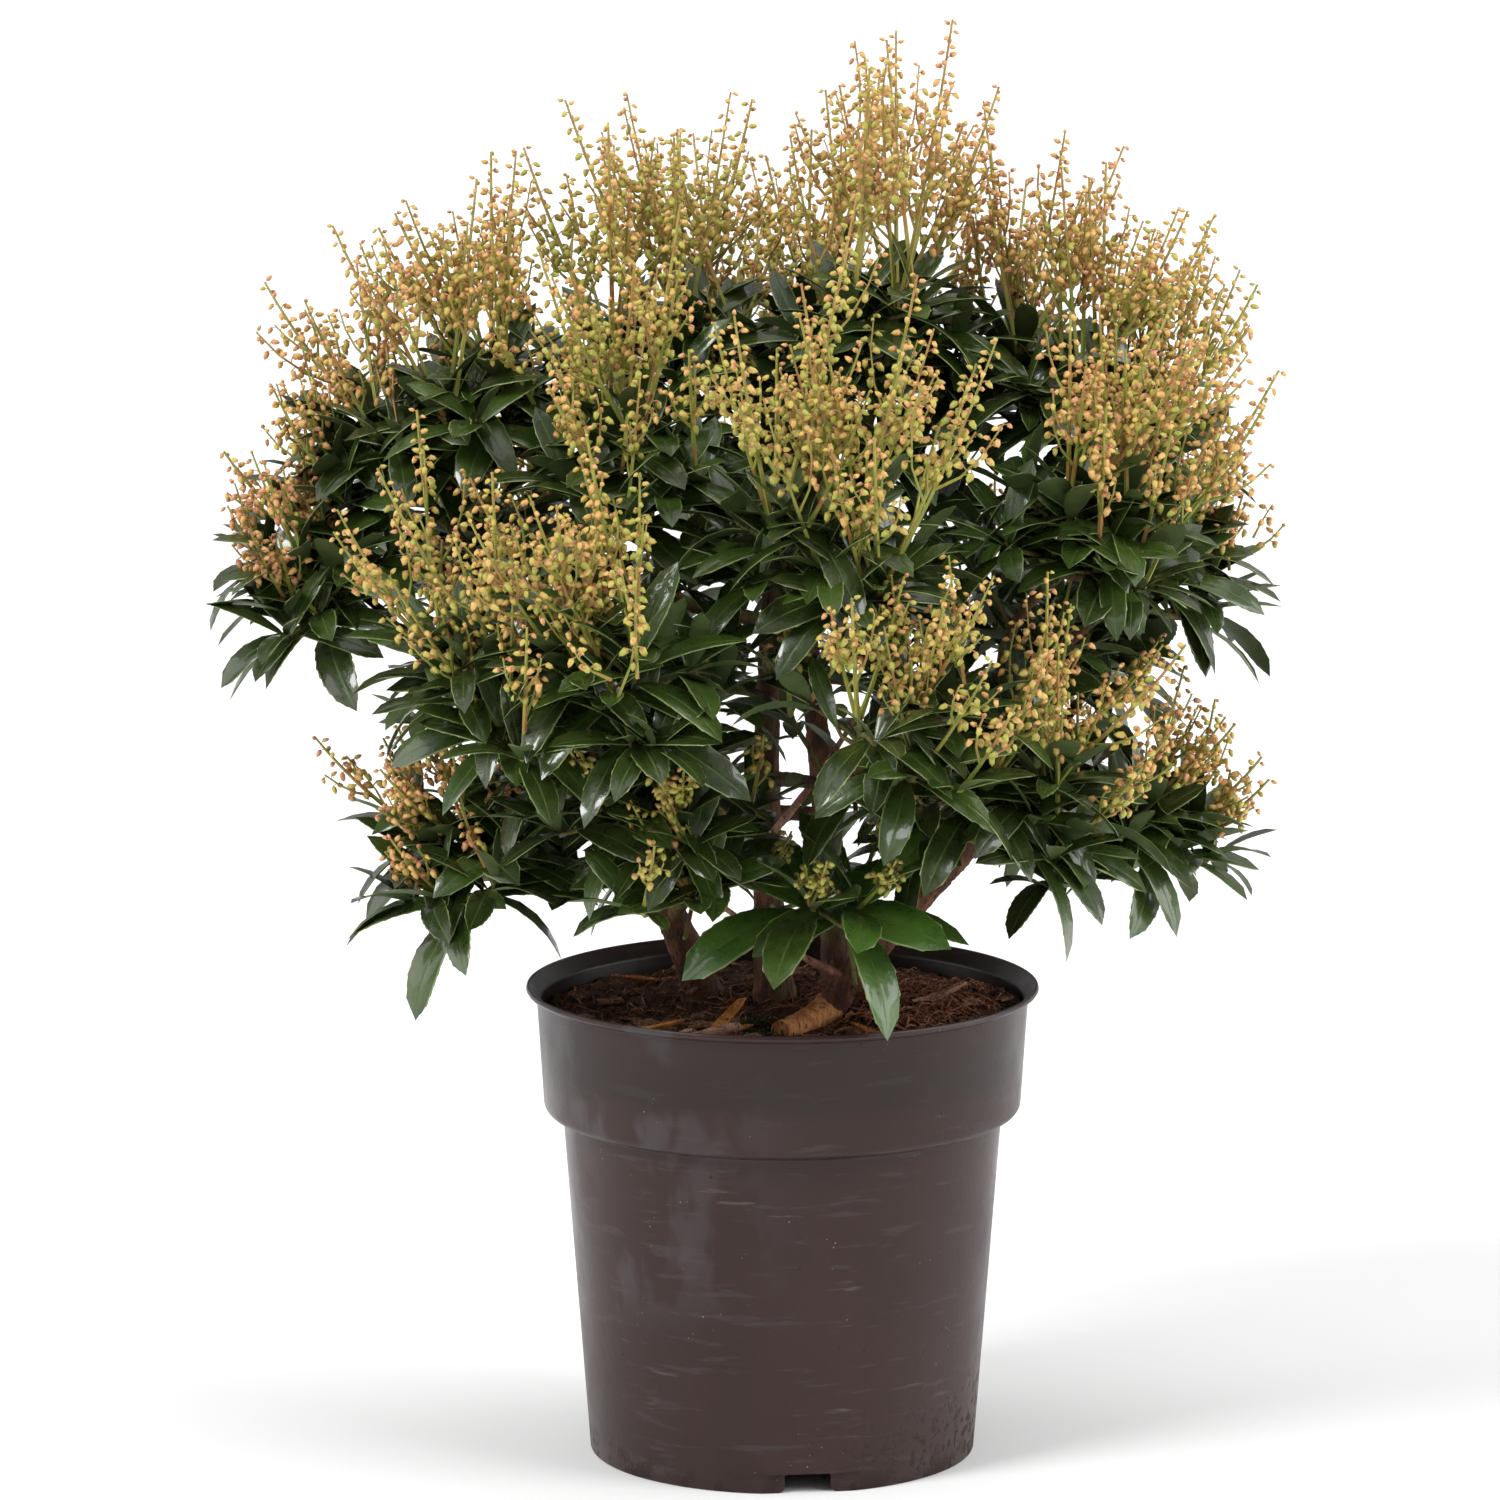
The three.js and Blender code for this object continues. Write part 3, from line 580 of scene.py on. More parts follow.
# -------- stems and boughs
# The shrub's wood: four stems that rise out of the compost and fork into a bough for each mass
# of foliage, the stub of a pruned stem, and two thin dead twigs. Brown bark that flakes in
# narrow strips, still green higher up.

STEMS = {
    "stem_left": ((-28, 20), (-40, 14, 205), (-74, 0, 262), (6.6, 4.2)),
    "stem_centre": ((-2, 4), (-10, 0, 240), (-2, -8, 352), (6.4, 3.4)),
    "stem_right": ((10, -28), (30, -30, 196), (94, -40, 262), (5.6, 3.8)),
    "stem_back": ((22, 34), (18, 40, 230), (8, 74, 306), (6.0, 3.8)),
}
STUB = ("stem_right", 0.1, (-1, -54, 169), (5.2, 4.2))
DEAD_TWIGS = {
    "dead_twig_high": ("stem_centre", 0.36, (28, -62, 290), (1.6, 0.9)),
    "dead_twig_low": ("stem_right", 0.2, (-26, -66, 221), (1.6, 0.9)),
}
HEART = np.array([-4.0, 6.0, 214.0])
STEM_REACH = 46
BOUGH_RADII = (3.0, 1.9)
# How a limb is drawn: its steps, how much wider its root is, how soon that fades, and its knots.
STEM_FORM, STUB_FORM = (110, 0.75, 18, 0.035), (30, 0.2, 8, 0.05)
BOUGH_FORM, DEAD_TWIG_FORM = (30, 0.35, 14, 0.06), (26, 0.3, 20, 0.1)
UP = np.array([0.0, 0.0, 1.0])

# Each mass: the stem its bough leaves and how far up, the middle of its whorls, how far they
# stand apart, its number of shoots, the number and length of the flower spikes on each, and how
# far its buds are flushed, from green at nothing to rose at one.
MASSES = {
    "left_far": ("stem_left", 0.72, (-175, -22, 337), 24, 3, 2, 46, 0.75),
    "left_low": ("stem_left", 0.5, (-126, -46, 234), 22, 3, 2, 50, 0.55),
    "left_front": ("stem_left", 0.62, (-112, -100, 310), 27, 3, 2, 80, 0.30),
    "left_top": ("stem_left", 0.99, (-152, 2, 380), 23, 3, 2, 62, 0.55),
    "crown_left": ("stem_left", 0.9, (-106, -10, 402), 26, 3, 3, 84, 0.35),
    "front_left": ("stem_centre", 0.55, (-60, -132, 318), 28, 3, 2, 88, 0.25),
    "front_upper_left": ("stem_centre", 0.78, (-58, -62, 380), 23, 3, 2, 84, 0.20),
    "crown_centre_left": ("stem_centre", 0.93, (-44, 6, 418), 25, 3, 3, 92, 0.20),
    "front_low_left": ("stem_left", 0.34, (-48, -100, 252), 28, 3, 1, 46, 0.10),
    "front_upper": ("stem_centre", 0.7, (16, -108, 360), 29, 3, 3, 86, 0.20),
    "crown_centre": ("stem_centre", 0.98, (40, 0, 426), 24, 3, 2, 111, 0.40),
    "crown_shoulder": ("stem_centre", 0.95, (80, 24, 406), 20, 2, 3, 84, 0.50),
    "front_right": ("stem_centre", 0.47, (42, -130, 300), 23, 3, 2, 66, 0.20),
    "crown_right": ("stem_centre", 0.86, (122, 0, 395), 25, 3, 3, 84, 0.35),
    "right_upper": ("stem_right", 0.88, (118, -60, 360), 24, 3, 3, 88, 0.40),
    "right_far": ("stem_right", 0.97, (148, 18, 336), 30, 3, 2, 56, 0.50),
    "right_front": ("stem_right", 0.66, (88, -92, 262), 25, 3, 2, 80, 0.30),
    "right_low": ("stem_right", 0.8, (138, -28, 244), 20, 3, 2, 50, 0.40),
    "foot_front": ("stem_right", 0.36, (24, -96, 222), 16, 2, 1, 34, -0.30),
    "back_left": ("stem_back", 0.74, (-112, 88, 332), 30, 3, 2, 78, 0.30),
    "back_right": ("stem_back", 0.82, (112, 78, 304), 30, 3, 2, 78, 0.30),
    "back_crown": ("stem_back", 0.97, (2, 74, 404), 28, 3, 3, 84, 0.30),
    "back_centre": ("stem_back", 0.9, (-4, 138, 330), 30, 3, 2, 76, 0.30),
    "back_low_left": ("stem_back", 0.46, (-78, 112, 244), 26, 3, 1, 50, 0.30),
    "back_low_right": ("stem_back", 0.56, (84, 106, 240), 26, 3, 1, 50, 0.30),
}


def unit(direction):
    return direction / np.linalg.norm(direction)


def bezier(handles, t):
    """Points of a Bezier curve at a column of parameters."""
    handles = [np.asarray(p, float) for p in handles]
    while len(handles) > 1:
        handles = [a + (b - a) * t for a, b in zip(handles, handles[1:])]
    return handles[0]


def along(handles, shares):
    """Points at these shares of a Bezier curve's length."""
    t = np.linspace(0, 1, 201)[:, None]
    steps = np.linalg.norm(np.diff(bezier(handles, t), axis=0), axis=1)
    lengths = np.concatenate([[0], np.cumsum(steps)])
    where = np.interp(np.atleast_1d(shares) * lengths[-1], lengths, t[:, 0])
    return bezier(handles, where[:, None])


def length_of(handles):
    return np.linalg.norm(np.diff(along(handles, np.linspace(0, 1, 9)), axis=0), axis=1).sum()


def stem_line(name):
    foot, bend, top, _ = STEMS[name]
    return [(*foot, COMPOST_LEVEL - 4), bend, top]


def facing(middle):
    return unit(np.array(middle, float) - HEART)


def bough_tip(middle):
    return np.array(middle) - facing(middle) * STEM_REACH


def bough_line(stem, at, middle):
    start, end = along(stem_line(stem), at)[0], bough_tip(middle)
    length = np.linalg.norm(end - start)
    leaving = unit(unit(end - start) + UP * 0.1)
    return [start, start + leaving * length * 0.35, end - facing(middle) * length * 0.45, end]


def bare_line(stem, at, tip):
    start, end = along(stem_line(stem), at)[0], np.array(tip, float)
    sag = UP * 0.06 * np.linalg.norm(end - start)
    return [start, (start + end) / 2 - sag, end]


def limb(line, root, tip, steps, flare, fade, knots, seed):
    """A strand for a tapering limb, wider at its root and ringed with old leaf scars."""
    shares = np.linspace(0, 1, steps)
    widths = root + (tip - root) * shares
    widths *= 1 + flare * np.exp(-fade * shares)
    scars = np.random.default_rng(seed).uniform(-1, 1, steps)
    return along(line, shares), widths * (1 + knots * scars)


def barked(wood, depth, size):
    """Raises the bark's flaking strips on the finished limbs, along their normals."""
    mesh = wood.data
    normals = [v.normal.copy() for v in mesh.vertices]
    for v, normal in zip(mesh.vertices, normals):
        p = v.co / MM
        strips = noise.noise(Vector((p.x / size, p.y / size, p.z / (size * 4))))
        flakes = noise.noise(p / (size * 0.4) + Vector((9, 0, 0)))
        v.co += normal * (0.7 * strips + 0.45 * flakes) * depth * MM
    mesh.update()


def bark(name, wood, strip, green, green_level):
    material, tree = finish_of(name, Roughness=0.75, Specular_IOR_Level=0.35)
    painted(
        tree, wood,
        (patches(tree, 0.004, 0.5, 0.08, (1, 1, 0.25)), strip),
        (patches(tree, 0.02, green_level, 0.06, (1, 1, 0.4)), green),
        (times(tree, patches(tree, 0.0016, 0.6, 0.05, (1, 1, 0.3)), 0.75), (0.016, 0.009, 0.006)),
    )
    relief(tree, patches(tree, 0.0012, stretch=(1, 1, 0.3), output="Value"), 0.0009)
    return material


STEM_BARK = bark("stem bark", (0.085, 0.036, 0.021), (0.185, 0.078, 0.040), (0.11, 0.10, 0.03), 0.60)
stems = rods("stems", [limb(stem_line(name), *STEMS[name][3], *STEM_FORM, n)
                       for n, name in enumerate(STEMS)], 8, [STEM_BARK])
barked(stems, 0.8, 3.5)
STUB_BARK = bark("stub bark", (0.48, 0.165, 0.055), (0.68, 0.31, 0.12), (0.30, 0.12, 0.05), 0.6)
stub = rods("pruned_stub", [limb(bare_line(*STUB[:3]), *STUB[3], *STUB_FORM, 7)], 8, [STUB_BARK])
barked(stub, 0.7, 2.6)
BOUGH_BARK = bark("bough bark", (0.10, 0.055, 0.024), (0.19, 0.090, 0.040), (0.13, 0.15, 0.036), 0.5)
boughs = rods("boughs", [limb(bough_line(*mass[:3]), *BOUGH_RADII, *BOUGH_FORM, n)
                         for n, mass in enumerate(MASSES.values())], 4, [BOUGH_BARK])
barked(boughs, 0.3, 2.0)
DEAD_BARK = bark("dead twig", (0.28, 0.115, 0.075), (0.42, 0.22, 0.15), (0.50, 0.34, 0.25), 0.62)
dead_twigs = rods("dead_twigs", [limb(bare_line(*twig[:3]), *twig[3], *DEAD_TWIG_FORM, 40 + n)
                                 for n, twig in enumerate(DEAD_TWIGS.values())], 2, [DEAD_BARK])
for wood, nodes in ((stems, list(STEMS)), (stub, ["cut_stub"]), (dead_twigs, list(DEAD_TWIGS)),
                    (boughs, ["bough_" + name for name in MASSES])):
    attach(wood, "root")
    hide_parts(*nodes)


# -------- twigs
# Last year's green wood: each mass's bough runs on into a forked twig, one fork to a shoot, and
# finer side twigs leave each shoot below its tip. The bark is smooth and flushed with red.

GOLDEN_ANGLE = pi * (3 - sqrt(5))
TWIG_RADII, TWIG_FORM = (1.8, 1.2), (14, 0.1, 10, 0.09)
SIDE_TWIG_RADII, SIDE_TWIG_FORM = (1.1, 0.8), (9, 0.2, 10, 0.09)
SIDE_TWIGS = (0.25, 0.47, 0.69)  # where they leave a shoot, as shares of its length
BOUGH_TWIGS = (0.38, 0.57, 0.76)  # and where they leave a bough


def seeded(seed):
    """The same numbers from 0 to 1 in the same order for the same seed. Each thing that is grown
    on a shoot or dealt out along it adds its own small number to the shoot's seed."""
    state = seed * 7919 + 17

    def draw():
        nonlocal state
        state = state * 48271 % 2147483647
        return state / 2147483647
    return draw


def around(direction, turn):
    """The way square to a direction, at this turn about it."""
    helper = np.array([1.0, 0, 0]) if abs(direction[2]) > 0.9 else UP
    side = unit(np.cross(helper, direction))
    return side * cos(turn) + np.cross(direction, side) * sin(turn)


def shoots_of(mass, index):
    """The shoots of a mass: tip, the way the twig ends, the more upright way its whorl points,
    twig line and seed. The first twig carries the bough on, and the others fork from it."""
    _, _, middle, spread, count, *_ = mass
    draw = seeded(index * 100 + 1)
    axis = facing(middle)
    shoots = []
    bough_end = bough_tip(middle)
    for k in range(count):
        turn = k * GOLDEN_ANGLE + draw() * 0.8
        away = spread * sqrt((k + 0.35) / count)
        outward = around(axis, turn)
        tip = np.array(middle) + outward * away + axis * ((draw() - 0.5) * 16 - away * 0.2)
        root = along(shoots[0]["line"], 0.12 + 0.2 * (k - 1))[0] if k else bough_end
        leaving = unit(axis + outward * (1 if k else 0))
        ending = unit(axis * 0.5 + outward * 0.35 + UP * 0.7)
        bend = np.linalg.norm(tip - root) * 0.38
        line = [root, root + leaving * bend, tip - ending * bend, tip]
        ends = unit(tip - along(line, 0.5)[0])
        shoots.append({"tip": tip, "ends": ends, "points": unit(ends + UP * 1.3), "line": line,
                       "seed": index * 100 + k * 10})
    return shoots


def side_shoots_of(line, ahead, seed, shares):
    """Finer twigs at these shares of a limb's line, turned round it by the same golden angle,
    each with its own tip."""
    draw = seeded(seed + 5)
    turned_by = draw() * 2 * pi
    made = []
    for j, share in enumerate(shares):
        outward = unit(around(ahead, turned_by + j * GOLDEN_ANGLE) + UP * 0.1)
        root = along(line, share + 0.1 * draw())[0]
        reach = 22 + 12 * draw()
        tip = root + outward * reach * 0.8 + ahead * reach * 0.35
        twig = [root, root + (outward + ahead) * reach * 0.3, tip - UP * reach * 0.2, tip]
        points = unit(outward * 0.4 + UP * 0.9)
        made.append({"tip": tip, "ends": points, "points": points, "line": twig, "seed": seed + 50000 + j})
    return made


SHOOTS = {name: shoots_of(mass, index) for index, (name, mass) in enumerate(MASSES.items())}
SIDE_SHOOTS = {}
for index, (name, mass) in enumerate(MASSES.items()):
    bough = bough_line(*mass[:3])
    SIDE_SHOOTS[name] = side_shoots_of(bough, facing(mass[2]), index * 100 + 70, BOUGH_TWIGS)
    for shoot in SHOOTS[name]:
        SIDE_SHOOTS[name] += side_shoots_of(shoot["line"], shoot["points"], shoot["seed"], SIDE_TWIGS)

YOUNG_BARK = bark("young bark", (0.095, 0.105, 0.030), (0.14, 0.085, 0.032), (0.16, 0.17, 0.040), 0.52)
main_twigs = [limb(shoot["line"], *TWIG_RADII, *TWIG_FORM, shoot["seed"])
              for shoots in SHOOTS.values() for shoot in shoots]
side_twigs = [limb(shoot["line"], *SIDE_TWIG_RADII, *SIDE_TWIG_FORM, shoot["seed"])
              for shoots in SIDE_SHOOTS.values() for shoot in shoots]
twigs = rods("twigs", main_twigs + side_twigs, 2, [YOUNG_BARK])
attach(twigs, "root")


# -------- leaves
# Leathery evergreen leaves, 30 to 55 mm long and narrowest at the stalk, with a toothed edge in
# the outer half, a pale midrib and a paler, duller underside. They stand in whorls at the tip
# of each shoot, the outer ones level or hanging and the inner ones more upright.

LEAF_LENGTH = 46
LEAF_WIDTH = 12.6
# Leaves in a whorl, the length of each and how far down the twig the lowest is rooted.
WHORL = (11, LEAF_LENGTH, 15)
LOW_WHORL = (9, LEAF_LENGTH * 1.12, 15)
SIDE_WHORL = (8, LEAF_LENGTH * 0.86, 9)
# From the lowest leaf of a whorl to the topmost: its angle to the shoot, and its share of length.
LEAF_ANGLES, ANGLE_PLAY = (93, 44), 18
LEAF_SHARES = (1.05, 0.74)
LEAF_STATIONS = (0, 0.13, 0.34, 0.53, 0.70, 0.86, 1)
BLADE, RIB, MARGIN, UNDERSIDE = range(4)
# The rows of each side, from edge to edge: where they run, as shares of the half width, how far
# they are lifted, and the finishes between them. The underside is keeled.
EDGE_LIFT = -0.12
UPPER_SIDE = ((-1, -0.9, -0.05, 0.05, 0.9, 1), (EDGE_LIFT, 0.16, -0.1, -0.1, 0.16, EDGE_LIFT),
              (MARGIN, BLADE, RIB, BLADE, MARGIN))
LOWER_SIDE = ((-1, 0, 1), (EDGE_LIFT, -0.62, EDGE_LIFT), (UNDERSIDE, UNDERSIDE))
ROOT_SLOPE = 0.40
TOOTHED_FROM = 0.45
TEETH = ((0.12, 0.28), (0.5, -0.05), (0.62, 0.28))  # places along a stretch of edge, and how far in
# From the most upright leaves of a whorl to those that hang the most: how far a leaf droops,
# sweeps to one side, twists and folds along its midrib.
LEAF_FORMS = ((0.20, -0.04, 0.1, 0.36), (0.28, 0.03, 0.25, 0.30), (0.40, -0.05, -0.2, 0.22),
              (0.52, 0.06, 0.3, 0.26), (0.64, -0.02, -0.35, 0.20), (0.78, 0.04, 0.15, 0.16))


def leaf_half_width(t):
    """Half the width at a share of the length: a stalk, then a blade broadest past its middle."""
    stalk, broadest = 0.5, 0.302
    blade = max(t - 0.03, 0) ** 0.95 * (1 - t) ** 0.72 / broadest
    return stalk + (LEAF_WIDTH / 2 - stalk) * blade


def toothed(bm, reach, sweep, start_at):
    """Cuts the edge past a place along X into teeth."""
    rim = [e for e in bm.edges if {f.material_index for f in e.link_faces} == {MARGIN, UNDERSIDE}]
    for edge in rim:
        start, end = sorted((v.co.copy() for v in edge.verts), key=lambda point: point.x)
        if end.x <= start_at:
            continue
        new = bmesh.ops.subdivide_edges(bm, edges=[edge], cuts=len(TEETH))["geom_inner"]
        inner = sorted((v for v in new if isinstance(v, bmesh.types.BMVert)), key=lambda v: v.co.x)
        middle = (start + end) / 2
        midrib = sweep * LEAF_LENGTH * (middle.x / reach) ** 2
        inward = Vector((0, -1 if middle.y > midrib else 1, 0))
        for v, (share, bite) in zip(inner, TEETH):
            v.co = start.lerp(end, share) + inward * bite


def leaf_shape(droop, sweep, twist, fold):
    """A leaf along +X with its upper side to +Z, one unit long along its midrib."""
    lengths = np.linspace(0, 1, 101)
    slope = np.arctan(ROOT_SLOPE - 2 * droop * lengths)
    run = np.concatenate([[0], np.cumsum(np.cos(slope[1:]) * LEAF_LENGTH / 100)])
    rise = np.concatenate([[0], np.cumsum(np.sin(slope[1:]) * LEAF_LENGTH / 100)])

    def at(t, across, lift):
        y = across * leaf_half_width(t)
        z = fold * abs(y) * (1 - 0.55 * abs(across)) + lift
        turn = twist * t
        y, z = y * cos(turn) - z * sin(turn), y * sin(turn) + z * cos(turn)
        tilt = np.interp(t, lengths, slope)
        x = np.interp(t, lengths, run) - sin(tilt) * z
        return Vector((x, y + sweep * t * t * LEAF_LENGTH, np.interp(t, lengths, rise) + cos(tilt) * z))

    bm = bmesh.new()
    stretches = len(LEAF_STATIONS) - 1
    for rows, lifts, finishes in (UPPER_SIDE, LOWER_SIDE):
        strips = len(finishes)
        grid = bmesh.ops.create_grid(bm, x_segments=stretches, y_segments=strips, size=0.5)["verts"]
        for f in {f for v in grid for f in v.link_faces}:
            f.material_index = finishes[int((f.calc_center_median().y + 0.5) * strips)]
        for v in grid:
            t = LEAF_STATIONS[round((v.co.x + 0.5) * stretches)]
            row = round((v.co.y + 0.5) * strips)
            v.co = at(t, 0, EDGE_LIFT) if t in (0, 1) else at(t, rows[row], lifts[row])
    bmesh.ops.remove_doubles(bm, verts=bm.verts, dist=1e-4)
    toothed(bm, run[-1], sweep, np.interp(TOOTHED_FROM, lengths, run))
    bmesh.ops.recalc_face_normals(bm, faces=bm.faces)
    bmesh.ops.scale(bm, verts=bm.verts, vec=(1 / LEAF_LENGTH,) * 3)
    return mesh_of(bm)


LEAF_SHAPES = [leaf_shape(*form) for form in LEAF_FORMS]


def leaves_of(shoot, count, length, depth):
    """A whorl's leaves: where each is rooted on the twig, the way it points, its upper side,
    its length and its rank, 0 for the lowest and 1 for the topmost."""
    draw = seeded(shoot["seed"] + 2)
    (low_angle, top_angle), (low_share, top_share) = LEAF_ANGLES, LEAF_SHARES
    below_tip = depth * (1 - np.linspace(0, 1, count)) + 1
    roots = along(shoot["line"], np.maximum(1 - below_tip / length_of(shoot["line"]), 0.2))
    turned_by = draw() * 2 * pi
    leaves = []
    for i in range(count):
        rank = i / (count - 1)
        angle = radians(low_angle + (top_angle - low_angle) * rank + (draw() - 0.5) * ANGLE_PLAY)
        outward = around(shoot["points"], turned_by + i * GOLDEN_ANGLE)
        ahead = shoot["points"] * cos(angle) + outward * sin(angle)
        ahead[2] -= 0.18 * draw()
        ahead = unit(ahead)
        upper = unit(shoot["points"] - ahead * shoot["points"].dot(ahead))
        size = length * (low_share + (top_share - low_share) * rank) * (0.88 + 0.24 * draw())
        leaves.append((roots[i], ahead, upper, size, rank, draw()))
    return leaves


# Where no leaf may go: round the pot's wall, close to the compost, across the open front of the
# plant's foot, which is higher on the left, and in the slit through which the higher dead twig
# shows. The slit leans with the twig, and what stands nearer the front is seen lower.
WALL_INSIDE, WALL_OUTSIDE, WALL_TOP = 83, 98, 180
LOWEST_LEAF, LOWEST_FOOT_LEAF = COMPOST_LEVEL + 6, 174
OPEN_BACK, OPEN_FRONT, OPEN_SIDE, OPEN_TOP = 0, -150, 62, 208
HIGH_LEFT, HIGH_RIGHT, HIGH_TOP = -56, 4, 222
SEEN_FALL = 0.176
SLIT_BACK, SLIT_FROM, SLIT_TO, SLIT_HALF = -62, 236, 282, 3.6
SLIT_FOOT, SLIT_LEAN = (-4, 230), 0.66


def in_the_way(points, low_shoot):
    """Whether a leaf with these points would stand where none may. The plant's lowest shoot
    alone stands in the open front."""
    for x, y, z in points:
        out = hypot(x, y)
        if (WALL_INSIDE < out < WALL_OUTSIDE and z < WALL_TOP) or (out <= WALL_INSIDE and z < LOWEST_LEAF):
            return True
        if low_shoot and z < LOWEST_FOOT_LEAF:
            return True
        if low_shoot or not OPEN_FRONT < y < OPEN_BACK:
            continue
        if abs(x) < OPEN_SIDE and z < (HIGH_TOP if HIGH_LEFT < x < HIGH_RIGHT else OPEN_TOP):
            return True
        seen_at = z + SEEN_FALL * y
        beside = x - SLIT_FOOT[0] - SLIT_LEAN * (seen_at - SLIT_FOOT[1])
        if y < SLIT_BACK and SLIT_FROM < seen_at < SLIT_TO and abs(beside) < SLIT_HALF:
            return True
    return False


def outside(points, room=0.5):
    """Whether a point leaves the space that the plant's solids reach."""
    low, high = np.array(cad_low) / MM + room, np.array(cad_high) / MM - room
    return bool((points < low).any() or (points > high).any())


LEAF_POINTS = [arrays_of(shape)[0] for shape in LEAF_SHAPES]
LEAF_COLOURS = {
    "deep": ((0.0205, 0.0330, 0.0060), (0.0305, 0.0485, 0.0080)),
    "mid": ((0.0300, 0.0560, 0.0080), (0.0450, 0.0800, 0.0110)),
    "fresh": ((0.036, 0.092, 0.011), (0.058, 0.125, 0.016)),
}
# The chance that a whorl is deep green, that a leaf at its top is not, and that a leaf of the
# lowest shoot is fresh green.
DEEP_WHORL, PALER_TOP, FRESH_LEAF = 0.55, 0.3, 0.5
leaf_places = {colour: [[] for _ in LEAF_SHAPES] for colour in LEAF_COLOURS}


def lay_leaf(leaf, colour, form, low_shoot):
    """Notes a leaf's place, or that of a shorter one where it would be in the way."""
    root, ahead, upper, size, _, luck = leaf
    broad = 1.25 if low_shoot else 0.86 + 0.26 * luck
    for trial in (1, 0.88, 0.76, 0.64):
        turn = np.column_stack([ahead, np.cross(upper, ahead) * broad, upper]) * size * trial
        points = LEAF_POINTS[form] @ turn.T + root
        if not outside(points) and not in_the_way(points, low_shoot):
            leaf_places[colour][form].append((turn * MM, root * MM))
            return


for name in MASSES:
    low_shoot = name == "foot_front"
    if low_shoot:
        whorls = [(shoot, *LOW_WHORL) for shoot in SHOOTS[name]]
    else:
        whorls = [(shoot, *WHORL) for shoot in SHOOTS[name]]
        whorls += [(shoot, *SIDE_WHORL) for shoot in SIDE_SHOOTS[name]]
    for shoot, count, length, depth in whorls:
        deal = seeded(shoot["seed"] + 9)
        spray = "deep" if deal() < DEEP_WHORL else "mid"
        for leaf in leaves_of(shoot, count, length, depth):
            rank = leaf[4]
            colour = spray
            if low_shoot:
                colour = "fresh" if deal() < FRESH_LEAF else "mid"
            elif rank > 0.75 and deal() < PALER_TOP:
                colour = "mid"
            form = min(len(LEAF_FORMS) - 1, int((1 - rank) * 3.4 + deal() * 2.2))
            lay_leaf(leaf, colour, form, low_shoot)


def leaf_blade(name, dark, light):
    material, tree = finish_of(name, IOR=1.45, Coat_Weight=0.6, Coat_Roughness=0.09)
    # Painted highlight: small lighter green flecks stand in for spots of gloss on the blade.
    painted_glint_flecks = times(tree, patches(tree, 0.0025, 0.62, 0.05), 0.3)
    painted(tree, dark, (patches(tree, 0.012, 0.5, 0.12), light),
            (painted_glint_flecks, tuple(1.6 * part for part in light)))
    rough = put(tree, "MapRange", patches(tree, 0.006, output="Value"), 0.3, 0.7, 0.22, 0.40)
    feed(tree, "Roughness", rough.outputs[0])
    relief(tree, patches(tree, 0.0022, output="Value"), 0.0004, 0.6)
    return material


def leaf_trim(name, pale, dull, rough):
    material, tree = finish_of(name, Roughness=rough, Specular_IOR_Level=0.4)
    painted(tree, pale, (patches(tree, 0.006, 0.5, 0.1), dull))
    relief(tree, patches(tree, 0.001, output="Value"), 0.0003, 0.5)
    return material


MIDRIB = leaf_trim("leaf midrib", (0.075, 0.125, 0.030), (0.050, 0.095, 0.024), 0.4)
# The margin's pale green is partly the leaf's own pale edge and partly a painted highlight where the edge
# catches the light.
LEAF_EDGE_PALE_AND_LIT = leaf_trim("leaf margin with painted edge highlight", (0.24, 0.30, 0.11), (0.15, 0.20, 0.065), 0.3)
LEAF_BACK = leaf_trim("leaf underside", (0.078, 0.108, 0.033), (0.058, 0.086, 0.026), 0.5)
leaves = {}
for colour, (dark, light) in LEAF_COLOURS.items():
    finishes = [leaf_blade("leaf " + colour, dark, light), MIDRIB, LEAF_EDGE_PALE_AND_LIT, LEAF_BACK]
    leaves[colour] = copies("leaves_" + colour, list(zip(LEAF_SHAPES, leaf_places[colour])), finishes)
    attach(leaves[colour], "root")
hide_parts(*["foliage_" + name for name in MASSES])


# -------- flower stalks
# The stalks of next spring's flowers, which stand on the shoots all winter: yellow-green
# spikes, bare at the foot, that rise from the middle of each whorl and branch into finer ones.

SPIKE_LEAN, SPIKE_FAN = 0.7, 0.36
SPIKE_BRANCHES = 3
FIRST_BRANCH, BRANCH_STEP = 0.30, 0.11
SIDE_SPIKES = 2  # one side shoot in two carries a spike too
# The bare share of a spike and of a branch, its radius at root and tip, and its steps.
SPIKE, BRANCH = (0.46, 1.0, 0.42, 9), (0.36, 0.55, 0.32, 4)
STALK_FORM = (0.25, 12, 0.05)  # how much wider its root is, how soon that fades, and its knots


def spikes_of(shoot, middle, count, reach):
    """The flower spikes of a shoot, as curves that rise from its tip and fan out a little."""
    draw = seeded(shoot["seed"] + 3)
    lean = unit(UP + facing(middle) * SPIKE_LEAN)
    turned_by = draw() * 2 * pi
    lines = []
    for j in range(count):
        outward = around(lean, turned_by + j * 2 * pi / count)
        ahead = unit(lean + outward * SPIKE_FAN)
        length = reach * (0.74 + 0.4 * draw())
        start = shoot["tip"] - shoot["ends"] * 1.2 + outward * 0.7
        bend = start + ahead * length * 0.5 + (ahead - UP) * length * 0.1
        lines.append([start, bend, start + ahead * (length - 0.8)])
    return lines


